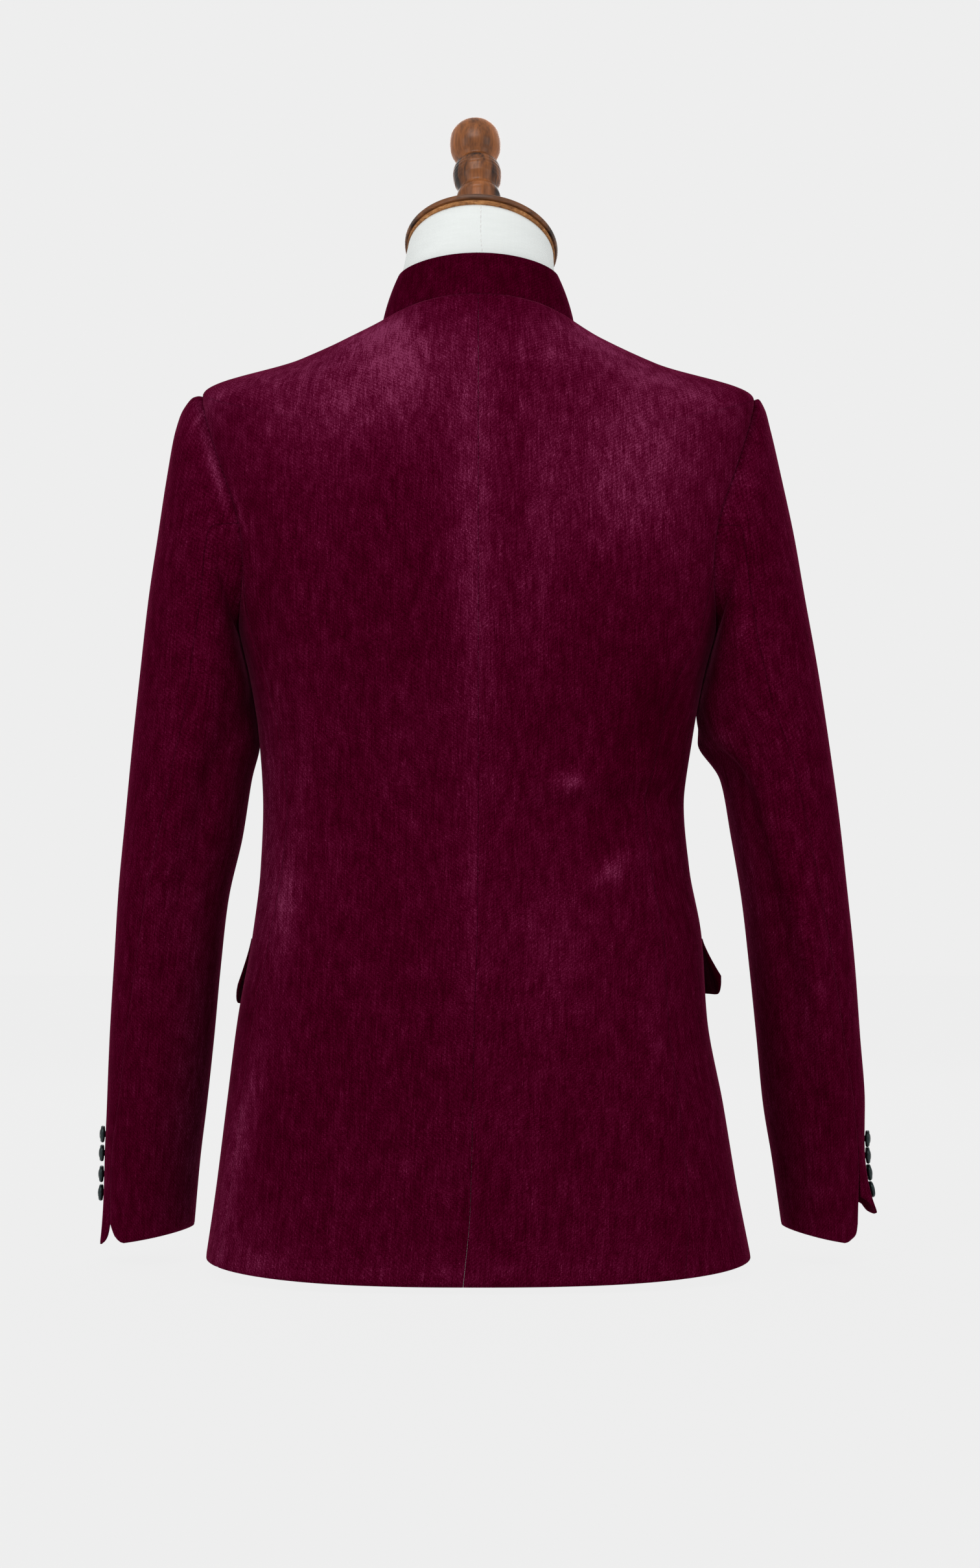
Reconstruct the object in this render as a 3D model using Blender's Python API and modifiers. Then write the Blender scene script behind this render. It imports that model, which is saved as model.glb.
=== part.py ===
"""Prince coat standing on a limbless dress form.

Metres, +Z up. The wearer faces -Y, so +Y is the coat's back and +X is its left.
The origin is the middle of the form's flat base. Each cut piece is a cloth wall:
its outer points lie on the body's surface or on a sleeve's, and its inner points
lie one cloth thickness inside them. An angle round the body starts at the left
side and passes the back at 90 degrees. An angle round a sleeve starts at its
outer side and passes its back at 90 degrees.
"""
import math
from collections import namedtuple

import bmesh
import bpy
import numpy as np
from mathutils import Matrix, Vector

CLOTH = 0.0020            # velvet with its canvas
COLLAR_CLOTH = 0.0025     # stiffened stand collar
FLAP_CLOTH = 0.0025
SEAM_GAP = 0.0003
ARMHOLE_GAP = 0.0004
FRONT_LAP = 0.018         # how far each front passes the centre
LAP_SLOPE = 0.016         # width over which the right front dips under the left
LAP_DEPTH = CLOTH + 0.0006

# The body's rings from hem to neckline: the height of each at back, side and
# front, its half widths to the left and right, its depths to the back and front,
# and the power of its outline, 2 for an ellipse and more for a squarer one.
BodyRing = namedtuple("BodyRing", "back_z side_z front_z left right back front power")
BODY_RINGS = (
    BodyRing(0.0056, 0.0130, 0.0070, 0.2198, 0.2198, 0.1440, 0.1460, 2.60),
    BodyRing(0.0670, 0.0670, 0.0670, 0.2119, 0.2091, 0.1390, 0.1420, 2.60),
    BodyRing(0.1360, 0.1360, 0.1360, 0.2033, 0.1977, 0.1330, 0.1360, 2.55),
    BodyRing(0.2050, 0.2050, 0.2050, 0.1945, 0.1850, 0.1260, 0.1310, 2.50),
    BodyRing(0.2700, 0.2700, 0.2700, 0.1830, 0.1808, 0.1160, 0.1240, 2.45),
    BodyRing(0.3250, 0.3250, 0.3250, 0.1765, 0.1710, 0.1050, 0.1170, 2.40),
    BodyRing(0.3750, 0.3750, 0.3750, 0.1745, 0.1668, 0.0990, 0.1140, 2.40),
    BodyRing(0.4305, 0.4305, 0.4305, 0.1776, 0.1736, 0.1040, 0.1170, 2.50),
    BodyRing(0.4750, 0.4750, 0.4750, 0.1840, 0.1815, 0.1100, 0.1210, 2.70),
    BodyRing(0.5150, 0.5150, 0.5150, 0.1930, 0.1915, 0.1150, 0.1240, 2.90),
    BodyRing(0.5680, 0.5820, 0.5700, 0.2075, 0.2075, 0.1190, 0.1230, 3.10),
    BodyRing(0.6160, 0.6480, 0.6130, 0.2180, 0.2180, 0.1185, 0.1150, 3.05),
    BodyRing(0.6660, 0.7068, 0.6560, 0.2227, 0.2227, 0.1130, 0.1030, 2.75),
    BodyRing(0.7150, 0.7350, 0.6880, 0.1460, 0.1460, 0.1035, 0.0940, 2.35),
    BodyRing(0.7760, 0.7640, 0.7140, 0.0784, 0.0784, 0.0750, 0.0860, 2.10),
)
UNDERARM_LEVEL = 9
SHOULDER_LEVEL = 12
NECK_LEVEL = 14
# How much lower the right shoulder lies than the left, by level.
SHOULDER_DROP = ((0, 0.0), (8, 0.0), (12, 0.0032), (13, 0.0034), (13.6, 0.0030), (14, 0.0))
DROP_SPREAD = 0.75        # share of the half width over which it comes in

# Seams of the body as angles in degrees. The skirt has turned a little on the
# form, so the centre and side seams are not symmetric below the waist.
SeamRow = namedtuple("SeamRow", "level centre left_back right_back left_front right_front")
SEAM_ROWS = (
    SeamRow(0, 85.4, 19.0, 144.0, -40.0, 206.0),
    SeamRow(1, 87.5, 20.0, 147.5, -40.0, 206.0),
    SeamRow(3, 88.6, 20.0, 149.0, -39.0, 206.0),
    SeamRow(4, 89.5, 20.5, 151.0, -38.0, 207.0),
    SeamRow(6, 90.0, 21.0, 153.0, -36.0, 208.0),
    SeamRow(8, 90.0, 20.0, 156.0, -31.0, 205.0),
    SeamRow(9, 90.0, 19.0, 159.0, -26.0, 201.0),
)
FRONT_CENTRE = 270.0

# A sleeve's rings from the armhole to the cuff: height of the outer and the inner
# side, how far out each lies on the left and the right sleeve, and the places of
# the back and the front.
SleeveRing = namedtuple(
    "SleeveRing", "outer_z outer_left outer_right inner_z inner_left inner_right back front")
SLEEVE_RINGS = (
    SleeveRing(0.7068, 0.2227, 0.2227, 0.5150, 0.1930, 0.1915, 0.0810, -0.0760),
    SleeveRing(0.7060, 0.2300, 0.2262, 0.5100, 0.1927, 0.1912, 0.0815, -0.0770),
    SleeveRing(0.6975, 0.2388, 0.2318, 0.5030, 0.1911, 0.1894, 0.0815, -0.0780),
    SleeveRing(0.6800, 0.2453, 0.2368, 0.4950, 0.1892, 0.1873, 0.0810, -0.0785),
    SleeveRing(0.6400, 0.2528, 0.2461, 0.4830, 0.1862, 0.1843, 0.0795, -0.0790),
    SleeveRing(0.5940, 0.2600, 0.2562, 0.4680, 0.1828, 0.1808, 0.0770, -0.0790),
    SleeveRing(0.5470, 0.2673, 0.2647, 0.4510, 0.1807, 0.1776, 0.0735, -0.0785),
    SleeveRing(0.4806, 0.2753, 0.2770, 0.4280, 0.1782, 0.1785, 0.0680, -0.0780),
    SleeveRing(0.4205, 0.2820, 0.2862, 0.3980, 0.1850, 0.1975, 0.0620, -0.0755),
    SleeveRing(0.3650, 0.2876, 0.2940, 0.3520, 0.1925, 0.2065, 0.0575, -0.0740),
    SleeveRing(0.3100, 0.2932, 0.3005, 0.3000, 0.2045, 0.2155, 0.0520, -0.0740),
    SleeveRing(0.2500, 0.2978, 0.3076, 0.2440, 0.2115, 0.2225, 0.0430, -0.0765),
    SleeveRing(0.1900, 0.3026, 0.3133, 0.1880, 0.2175, 0.2290, 0.0310, -0.0810),
    SleeveRing(0.1300, 0.3066, 0.3190, 0.1320, 0.2245, 0.2355, 0.0160, -0.0870),
    SleeveRing(0.0800, 0.3096, 0.3195, 0.0850, 0.2310, 0.2440, 0.0040, -0.0920),
    SleeveRing(0.0150, 0.3106, 0.3180, 0.0290, 0.2370, 0.2530, -0.0080, -0.0990),
)
CUFF_RING = 15
ARMHOLE_SKEW = 0.25       # how much fuller the armhole is below its middle
SKEW_END_RING = 8
ARMHOLE_FADE = 1.5        # rings over which the sleeve leaves the armhole's shape
DROP_END_RING = 2.5
SLEEVE_COLUMNS = (0, 15, 30, 45, 60, 80, 100, 120, 140, 160, 180,
                  200, 220, 240, 260, 280, 300, 315, 330, 345)
BACK_JOIN = 120           # armhole angle where the back meets the side piece
FRONT_JOIN = 240
HINDARM_COLUMN = 100
FOREARM_COLUMN = 240
HINDARM_ROWS = ((0, 100), (4, 96), (7, 86), (10, 70), (12, 55), (13.5, 42), (15, 36))
FOREARM_ROWS = ((0, 240), (7, 246), (15, 250))

# The vent at the cuff: where it starts, how far its edges part at the cuff, how
# far the button side stands away, and how far its lower corners are cut back, in
# rings and over how many degrees.
VENT_RING = 13.3
VENT_OPEN = {"left": 0.0050, "right": 0.0060}
VENT_FLARE = {"left": 0.0050, "right": 0.0330}
VENT_FLARE_POWER = 3.0
VENT_FLARE_ANGLE = 45.0
UPPER_CORNER = {"left": (0.03, 40.0), "right": (0.42, 110.0)}
UNDER_CORNER = {"left": (0.08, 40.0), "right": (0.15, 40.0)}
FOREARM_GAP = 0.0007      # extra gap of the forearm seam toward the armhole
FOREARM_GAP_RINGS = 6.0

# Folds as long soft ridges (height above zero) or troughs (below), placed by the
# distance to the wearer's left and the height, on the back or on the front.
Fold = namedtuple("Fold", "face x z length width tilt height")
BODY_FOLDS = (
    Fold("back", -0.086, 0.394, 0.050, 0.010, -8.0, 0.0030),
    Fold("back", -0.122, 0.377, 0.050, 0.010, -10.0, -0.0045),
    Fold("back", -0.100, 0.325, 0.055, 0.013, -32.0, 0.0035),
    Fold("back", -0.128, 0.350, 0.038, 0.011, -28.0, -0.0030),
    Fold("back", -0.150, 0.452, 0.040, 0.010, -48.0, -0.0030),
    Fold("back", 0.117, 0.708, 0.034, 0.009, -62.0, 0.0022),
    Fold("back", 0.160, 0.700, 0.036, 0.010, -22.0, 0.0018),
    Fold("back", 0.150, 0.545, 0.075, 0.010, 84.0, 0.0028),
    Fold("back", 0.090, 0.130, 0.110, 0.022, 84.0, -0.0030),
    Fold("back", -0.085, 0.110, 0.110, 0.024, 96.0, -0.0028),
    Fold("front", 0.090, 0.365, 0.055, 0.012, 14.0, -0.0032),
    Fold("front", -0.095, 0.345, 0.055, 0.013, -20.0, 0.0030),
    Fold("front", 0.110, 0.120, 0.100, 0.024, 92.0, -0.0026),
)
SleeveFold = namedtuple("SleeveFold", "side ring angle rings degrees twist height")
SLEEVE_FOLDS = (
    SleeveFold("right", 10.0, 100.0, 3.6, 12.0, -13.0, 0.0045),
    SleeveFold("right", 9.6, 128.0, 3.0, 12.0, -10.0, -0.0040),
    SleeveFold("right", 7.8, 150.0, 1.4, 14.0, -30.0, -0.0035),
    SleeveFold("right", 13.0, 62.0, 1.6, 11.0, -6.0, -0.0025),
    SleeveFold("left", 8.5, 118.0, 3.4, 12.0, -6.0, -0.0035),
    SleeveFold("left", 9.5, 82.0, 3.6, 12.0, -7.0, 0.0030),
    SleeveFold("left", 6.5, 148.0, 1.8, 13.0, -16.0, -0.0035),
    SleeveFold("left", 10.5, 290.0, 3.0, 15.0, 8.0, -0.0030),
    SleeveFold("right", 10.5, 285.0, 3.0, 15.0, 8.0, -0.0030),
)

COLLAR_TOP_HALF = 0.0650
COLLAR_TOP_BACK = (0.0580, 0.8120)     # distance behind the middle, height
COLLAR_TOP_SIDE_Z = 0.8060
COLLAR_TOP_FRONT = (0.0800, 0.7500)    # distance in front of the middle, height
COLLAR_END_GAP = 0.0040
COLLAR_SEAM_GAP = 0.0005
COLLAR_CORNER = 0.012
COLLAR_BULGE = 0.0016      # how far the collar is rounded outward at half height

FLAP_TOP_Z = 0.268
FLAP_DROP = {"left": 0.0545, "right": 0.0470}
FLAP_CORNER = 0.016
FLAP_GAP = 0.0007
FLAP_ANGLES = {"left": (-4.0, -50.0), "right": (184.0, 230.0)}   # rear end, front end
FLAP_FLARE = {"left": (0.0045, 0.002), "right": (0.0135, 0.004)}

CUFF_BUTTON = 0.0140
FRONT_BUTTON = 0.0200
BUTTON_THICKNESS = 0.0034
BUTTON_SHANK = 0.0011
SHANK_RADIUS = 0.0024
CUFF_BUTTON_RINGS = {"left": (13.47, 13.80, 14.12, 14.37), "right": (13.55, 13.84, 14.10, 14.33)}
CUFF_BUTTON_INSET = 32.0               # degrees from the vent's edge
FRONT_BUTTON_HEIGHTS = (0.205, 0.305, 0.405, 0.505, 0.605)

# The form's distance inside the coat's wall, by the level of the body's rings.
FORM_CLEARANCE = ((0, 0.0450), (1, 0.0360), (2, 0.0270), (3, 0.0190), (4, 0.0120),
                  (6, 0.0080), (8, 0.0070), (9, 0.0060), (10, 0.0045), (11, 0.0035),
                  (11.6, 0.0050), (12, 0.0032), (12.55, 0.0008), (13, 0.0006), (14, 0.0010))
FORM_FRONT_CLEARANCE = 0.0050          # more in front, for the lap of the fronts
YOKE_LEVELS = (12.25, 12.55, 12.9, 13.3, 13.65, 14)
FORM_LEVELS = (0, 1, 2, 3, 4, 5, 6, 7, 8, 9, 9.7, 10.4, 11, 11.5, 12) + YOKE_LEVELS[:-1]
NeckRing = namedtuple("NeckRing", "back_z side_z front_z half back front")
NECK_RINGS = (
    NeckRing(0.7745, 0.7635, 0.7130, 0.0725, 0.0690, 0.0775),
    NeckRing(0.7990, 0.7880, 0.7400, 0.0645, 0.0565, 0.0735),
    NeckRing(0.8230, 0.8080, 0.7690, 0.0617, 0.0485, 0.0715),
)
NECK_TOP_HALF = 0.0594

CAP_CENTRE = (-0.0023, -0.0150, 0.8329)
CAP_TILT = 27.5           # degrees the cap is turned toward the front
CAP_LEAN = -3.8           # and toward the wearer's right
CAP_RADIUS = 0.0629
CAP_THICKNESS = 0.0080
FINIAL_FOOT = (-0.0028, -0.0164, 0.8321)
FINIAL_AXIS = (0.0488, -0.4221, 0.9052)
FINIAL_SIDES = 20
FINIAL_LEVEL_HEIGHT = 0.048     # from here up the finial is square to its own axis
# Distance along the finial's axis from the cap's middle, and radius there.
FINIAL_PROFILE = (
    (0.1324, 0.0024), (0.1316, 0.0062), (0.1291, 0.0125), (0.1246, 0.0178), (0.1181, 0.0207),
    (0.1112, 0.0213), (0.1046, 0.0207), (0.0986, 0.0182), (0.0951, 0.0152), (0.0926, 0.0140),
    (0.0901, 0.0152), (0.0881, 0.0174), (0.0841, 0.0194), (0.0781, 0.0202), (0.0711, 0.0193),
    (0.0661, 0.0168), (0.0626, 0.0155), (0.0601, 0.0162), (0.0576, 0.0178), (0.0541, 0.0183),
    (0.0506, 0.0172), (0.0426, 0.0150), (0.0286, 0.0140), (0.0186, 0.0156), (0.0121, 0.0190),
    (0.0098, 0.0240), (0.0078, 0.0262), (0.0043, 0.0265),
)

SIDES = {"left": 1.0, "right": -1.0}
MATERIALS = {
    "velvet": ((0.045, 0.0, 0.012), 0.75, 0.0),
    "linen": ((0.87, 0.89, 0.88), 0.8, 0.0),
    "walnut": ((0.12, 0.045, 0.018), 0.35, 0.0),
    "button_metal": ((0.012, 0.018, 0.018), 0.3, 0.9),
}


def smooth(places, values):
    """Monotone cubic through the given values, as a function of an array."""
    places = np.array(places, float)
    values = np.array(values, float)
    steps = np.diff(places)
    slopes = np.diff(values) / steps
    tangents = np.concatenate((slopes[:1], np.zeros(len(slopes) - 1), slopes[-1:]))
    same_way = slopes[:-1] * slopes[1:] > 0
    product = np.where(same_way, slopes[:-1] * slopes[1:], 0.0)
    total = np.where(same_way, slopes[:-1] + slopes[1:], 1.0)
    tangents[1:-1] = 2.0 * product / total

    def curve(place):
        index = np.clip(np.searchsorted(places, place, side="right") - 1, 0, len(steps) - 1)
        step = steps[index]
        t = (place - places[index]) / step
        rise = values[index + 1] - values[index]
        start = tangents[index] * step
        end = tangents[index + 1] * step
        return values[index] + t * (start + t * (3 * rise - 2 * start - end + t * (start + end - 2 * rise)))

    return curve


def column_curves(rows):
    """One smooth curve for each named column of a table."""
    return {name: smooth(range(len(rows)), [getattr(row, name) for row in rows])
            for name in rows[0]._fields}


BODY = column_curves(BODY_RINGS)
SLEEVE = column_curves(SLEEVE_RINGS)
SEAM_CURVES = {name: smooth([row.level for row in SEAM_ROWS], [getattr(row, name) for row in SEAM_ROWS])
               for name in SeamRow._fields[1:]}
DROP = smooth(*zip(*SHOULDER_DROP))
HINDARM = smooth(*zip(*HINDARM_ROWS))
FOREARM = smooth(*zip(*FOREARM_ROWS))


def unit(vectors):
    return vectors / np.linalg.norm(vectors, axis=-1, keepdims=True)


def smoothstep(value):
    value = np.clip(value, 0.0, 1.0)
    return value * value * (3.0 - 2.0 * value)


def ring_height(level, y, depth):
    """Height of a body ring at a distance y behind the middle."""
    side_z = BODY["side_z"](level)
    far_z = np.where(y >= 0, BODY["back_z"](level), BODY["front_z"](level))
    return side_z + (far_z - side_z) * (y / depth) ** 2


def body_base(angle, level):
    """Point of the unfolded body at an angle in degrees and a ring level."""
    angle, level = np.broadcast_arrays(np.radians(angle), np.asarray(level, float))
    along, across = np.cos(angle), np.sin(angle)
    half = np.where(along >= 0, BODY["left"](level), BODY["right"](level))
    depth = np.where(across >= 0, BODY["back"](level), BODY["front"](level))
    power = BODY["power"](level)
    radius = ((np.abs(along) / half) ** power + (np.abs(across) / depth) ** power) ** (-1.0 / power)
    x, y = radius * along, radius * across
    z = ring_height(level, y, depth) - DROP(level) * smoothstep(-x / (DROP_SPREAD * half))
    return np.stack((x, y, z), axis=-1)


def body_normal(angle, level):
    around = body_base(angle + 0.2, level) - body_base(angle - 0.2, level)
    upward = body_base(angle, level + 0.01) - body_base(angle, level - 0.01)
    return unit(np.cross(around, upward))


def body_fold(points):
    """Height of the folds at points of the body."""
    x, y, z = points[..., 0], points[..., 1], points[..., 2]
    total = np.zeros(x.shape)
    for fold in BODY_FOLDS:
        turn = math.radians(fold.tilt)
        along = (x - fold.x) * math.cos(turn) + (z - fold.z) * math.sin(turn)
        across = (z - fold.z) * math.cos(turn) - (x - fold.x) * math.sin(turn)
        shape = np.exp(-(along / fold.length) ** 2 - (across / fold.width) ** 2)
        facing = y if fold.face == "back" else -y
        total += fold.height * shape * smoothstep(facing / 0.04)
    return total


def body_shell(angle, level, out=0.0):
    """Point of the coat's outer side, moved out along the surface's normal."""
    base = body_base(angle, level)
    offset = body_fold(base) + out
    return base + body_normal(angle, level) * offset[..., None]


def sleeve_section(angle, ring, side):
    """Point of a plain sleeve section, before it is joined to the armhole."""
    angle, ring = np.broadcast_arrays(np.radians(angle), np.asarray(ring, float))
    along = (1.0 + np.cos(angle)) / 2.0
    inner, outer = SLEEVE["inner_" + side](ring), SLEEVE["outer_" + side](ring)
    inner_z, outer_z = SLEEVE["inner_z"](ring), SLEEVE["outer_z"](ring)
    if side == "right":
        outer_z = outer_z - float(DROP(SHOULDER_LEVEL)) * np.clip(1.0 - ring / DROP_END_RING, 0.0, 1.0)
    back, front = SLEEVE["back"](ring), SLEEVE["front"](ring)
    skew = ARMHOLE_SKEW * np.clip(1.0 - ring / SKEW_END_RING, 0.0, 1.0)
    swell = np.sin(angle) * (1.0 - skew * np.cos(angle)) / (1.0 + 0.12 * skew)
    x = SIDES[side] * (inner + (outer - inner) * along)
    y = (back + front) / 2.0 + (back - front) / 2.0 * swell
    return np.stack((x, y, inner_z + (outer_z - inner_z) * along), axis=-1)


def armhole(angle, side):
    """Body angle and level of the armhole at a sleeve angle."""
    seam = sleeve_section(angle, 0.0, side)
    y, z = seam[..., 1], seam[..., 2]
    low = np.full(z.shape, UNDERARM_LEVEL - 1.0)
    high = np.full(z.shape, SHOULDER_LEVEL + 0.5)
    for _ in range(50):
        level = (low + high) / 2.0
        depth = np.where(y >= 0, BODY["back"](level), BODY["front"](level))
        lower = DROP(level) if side == "right" else 0.0
        above = ring_height(level, y, depth) - lower > z
        high = np.where(above, level, high)
        low = np.where(above, low, level)
    power = BODY["power"](level)
    x = SIDES[side] * BODY[side](level) * (1.0 - np.abs(y / depth) ** power) ** (1.0 / power)
    turned = np.degrees(np.arctan2(y, x))
    if side == "right":
        turned = np.where(turned < 0, turned + 360.0, turned)
    return turned, level


def sleeve_fold(angle, ring, side):
    total = np.zeros(np.broadcast(angle, ring).shape)
    for fold in SLEEVE_FOLDS:
        if fold.side != side:
            continue
        centre = fold.angle + fold.twist * (ring - fold.ring)
        shape = np.exp(-((ring - fold.ring) / fold.rings) ** 2 - ((angle - centre) / fold.degrees) ** 2)
        total += fold.height * shape
    return total * smoothstep((ring - 1.0) / 3.0)


def sleeve_base(angle, ring, side):
    angle, ring = np.broadcast_arrays(np.asarray(angle, float), np.asarray(ring, float))
    points = sleeve_section(angle, ring, side)
    body_angle, level = armhole(angle, side)
    start = body_shell(body_angle, level) + np.array((SIDES[side] * ARMHOLE_GAP, 0.0, 0.0))
    fade = np.clip(1.0 - ring / ARMHOLE_FADE, 0.0, 1.0) ** 2
    return points + (start - sleeve_section(angle, 0.0, side)) * fade[..., None]


def sleeve_normal(angle, ring, side):
    ahead = np.minimum(ring + 0.02, CUFF_RING)
    behind = np.maximum(ring - 0.02, 0.0)
    down = sleeve_base(angle, ahead, side) - sleeve_base(angle, behind, side)
    around = sleeve_base(angle + 0.5, ring, side) - sleeve_base(angle - 0.5, ring, side)
    return unit(SIDES[side] * np.cross(down, around))


def sleeve_shell(angle, ring, side, out=0.0):
    """Point of a sleeve's outer side, with its folds and the vent's flare."""
    angle, ring = np.broadcast_arrays(np.asarray(angle, float), np.asarray(ring, float))
    turn = (angle + 180.0) % 360.0 - 180.0
    below_vent = np.clip((ring - VENT_RING) / (CUFF_RING - VENT_RING), 0.0, 1.0)
    from_vent = (HINDARM(ring) - turn) / VENT_FLARE_ANGLE
    flare = VENT_FLARE[side] * below_vent ** VENT_FLARE_POWER * np.exp(-from_vent ** 2) * (from_vent > 0)
    offset = sleeve_fold(angle % 360.0, ring, side) + flare + out
    return sleeve_base(angle, ring, side) + sleeve_normal(angle, ring, side) * offset[..., None]


def link(obj, material):
    principled = bpy.data.materials.get(material) or new_material(material)
    obj.data.materials.append(principled)
    COLLECTION.objects.link(obj)
    return obj


def new_material(name):
    colour, roughness, metallic = MATERIALS[name]
    material = bpy.data.materials.new(name)
    material.use_nodes = True
    shader = material.node_tree.nodes["Principled BSDF"]
    shader.inputs["Base Color"].default_value = (*colour, 1.0)
    shader.inputs["Roughness"].default_value = roughness
    shader.inputs["Metallic"].default_value = metallic
    material.diffuse_color = (*colour, 1.0)
    return material


def mesh_object(name, verts, faces, material):
    mesh = bpy.data.meshes.new(name)
    mesh.from_pydata([tuple(point) for point in verts], [], faces)
    shape = bmesh.new()
    shape.from_mesh(mesh)
    bmesh.ops.recalc_face_normals(shape, faces=shape.faces)
    shape.to_mesh(mesh)
    shape.free()
    mesh.shade_smooth()
    return link(bpy.data.objects.new(name, mesh), material)


def cloth_wall(name, outer, inner, material="velvet"):
    """Closed wall between two grids of points of the same size."""
    rows, columns = outer.shape[:2]
    verts = np.concatenate((outer.reshape(-1, 3), inner.reshape(-1, 3)))
    back = rows * columns

    def at(row, column):
        return row * columns + column

    faces = []
    for row in range(rows - 1):
        for column in range(columns - 1):
            quad = (at(row, column), at(row, column + 1), at(row + 1, column + 1), at(row + 1, column))
            faces.append(quad)
            faces.append(tuple(corner + back for corner in reversed(quad)))
    border = [at(0, column) for column in range(columns)]
    border += [at(row, columns - 1) for row in range(1, rows)]
    border += [at(rows - 1, column) for column in range(columns - 2, -1, -1)]
    border += [at(row, 0) for row in range(rows - 2, 0, -1)]
    for first, second in zip(border, border[1:] + border[:1]):
        faces.append((second, first, first + back, second + back))
    return mesh_object(name, verts, faces, material)


def closed_loft(name, rings, material):
    """Solid through rings of the same number of points, closed by flat ends."""
    count = len(rings[0])
    verts = [point for ring in rings for point in ring]
    faces = [tuple(range(count)), tuple(reversed(range(len(verts) - count, len(verts))))]
    for row in range(len(rings) - 1):
        for column in range(count):
            after = (column + 1) % count
            low, high = row * count, (row + 1) * count
            faces.append((low + column, low + after, high + after, high + column))
    return mesh_object(name, verts, faces, material)


def body_seam(name, side, join):
    """Seam angle by level, ending where the seam meets the armhole."""
    rows = [(row.level, getattr(row, name)) for row in SEAM_ROWS]
    angle, level = armhole(np.array([float(join)]), side)
    rows.append((float(level[0]), float(angle[0])))
    return smooth(*zip(*rows)), float(level[0])


def angle_of_gap(angle, level, gap):
    """Angle that spans a small distance along the body's ring."""
    step = np.linalg.norm(body_base(angle + 0.5, level) - body_base(angle - 0.5, level), axis=-1)
    return gap / step


BACK_SHARES = np.array((0.0, 0.14, 0.28, 0.42, 0.55, 0.67, 0.78, 0.89, 1.0))
FRONT_SHARES = np.array((0.0, 0.08, 0.16, 0.28, 0.42, 0.58, 0.74, 0.82, 0.90, 1.0))
SKIRT_STEPS = np.array((0.0, 0.05, 0.11, 0.18, 0.26, 0.34, 0.42, 0.49, 0.55, 0.60, 0.65, 0.70,
                        0.76, 0.83, 0.91, 1.0))


def panel_rows(seam, join_level, columns, side):
    """Levels and outer seam angles of a front or a back, from hem to neckline."""
    skirt = SKIRT_STEPS * join_level
    arm_angle, arm_level = armhole(np.array(columns, float), side)
    levels = np.concatenate((skirt, arm_level[1:-1], (SHOULDER_LEVEL,), YOKE_LEVELS))
    shoulder = 0.0 if side == "left" else 180.0
    yoke = np.full(1 + len(YOKE_LEVELS), shoulder)
    edges = np.concatenate((seam(skirt), arm_angle[1:-1], yoke))
    on_armhole = np.zeros(len(levels), bool)
    on_armhole[len(skirt):len(skirt) + len(columns) - 2] = True
    return levels, edges, on_armhole


def body_panel(name, levels, first, last, shares, sink=None):
    """Cloth wall between two seam angles given for each level."""
    angles = first[:, None] + (last - first)[:, None] * shares
    rows = np.repeat(levels[:, None], len(shares), axis=1)
    below = np.zeros(angles.shape) if sink is None else sink(angles, rows)
    return cloth_wall(name, body_shell(angles, rows, -below), body_shell(angles, rows, -below - CLOTH))


def make_back(side):
    seam, join_level = body_seam(side + "_back", side, BACK_JOIN)
    columns = [angle for angle in reversed(SLEEVE_COLUMNS) if angle <= BACK_JOIN]
    levels, edges, on_armhole = panel_rows(seam, join_level, columns, side)
    inward = 1.0 if side == "left" else -1.0
    half = SEAM_GAP / 2.0
    edges = edges + inward * np.where(on_armhole, 0.0, angle_of_gap(edges, levels, half))
    centre = SEAM_CURVES["centre"](np.minimum(levels, UNDERARM_LEVEL))
    centre = centre - inward * angle_of_gap(centre, levels, half)
    body_panel("back_" + side, levels, centre, edges, BACK_SHARES)


def lap_sink(angles, levels):
    """How far the right front lies below the left, beside and under the lap."""
    x = body_base(angles, levels)[..., 0]
    return LAP_DEPTH * smoothstep((x + FRONT_LAP + LAP_SLOPE) / (LAP_SLOPE - 0.0015))


def front_edge(levels, side):
    """Angle of a front's edge, FRONT_LAP past the centre."""
    depth = BODY["front"](levels)
    past = np.degrees(np.arctan2(FRONT_LAP, depth))
    return -90.0 - past if side == "left" else FRONT_CENTRE + past


def make_front(side):
    seam, join_level = body_seam(side + "_front", side, FRONT_JOIN)
    columns = [angle for angle in SLEEVE_COLUMNS if angle >= FRONT_JOIN] + [360]
    levels, edges, on_armhole = panel_rows(seam, join_level, columns, side)
    if side == "right":
        edges = np.where(edges < 90.0, edges + 360.0, edges)
    inward = -1.0 if side == "left" else 1.0
    inset = np.where(on_armhole, 0.0, angle_of_gap(edges, levels, SEAM_GAP / 2.0))
    edges = edges + inward * inset
    sink = lap_sink if side == "right" else None
    body_panel("front_" + side, levels, edges, front_edge(levels, side), FRONT_SHARES, sink)


def make_side(side):
    back_seam, back_join = body_seam(side + "_back", side, BACK_JOIN)
    front_seam, front_join = body_seam(side + "_front", side, FRONT_JOIN)
    columns = np.array([angle for angle in SLEEVE_COLUMNS if BACK_JOIN <= angle <= FRONT_JOIN], float)
    top_angle, top_level = armhole(columns, side)
    share = (top_angle - top_angle[0]) / (top_angle[-1] - top_angle[0])
    back_angle, front_angle = back_seam(SKIRT_STEPS * back_join), front_seam(SKIRT_STEPS * front_join)
    outward = 1.0 if side == "left" else -1.0
    half = SEAM_GAP / 2.0
    back_angle = back_angle - outward * angle_of_gap(back_angle, SKIRT_STEPS * back_join, half)
    front_angle = front_angle + outward * angle_of_gap(front_angle, SKIRT_STEPS * front_join, half)
    angles = back_angle[:, None] + (front_angle - back_angle)[:, None] * share
    levels = SKIRT_STEPS[:, None] * top_level
    cloth_wall("side_" + side, body_shell(angles, levels), body_shell(angles, levels, -CLOTH))


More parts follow.
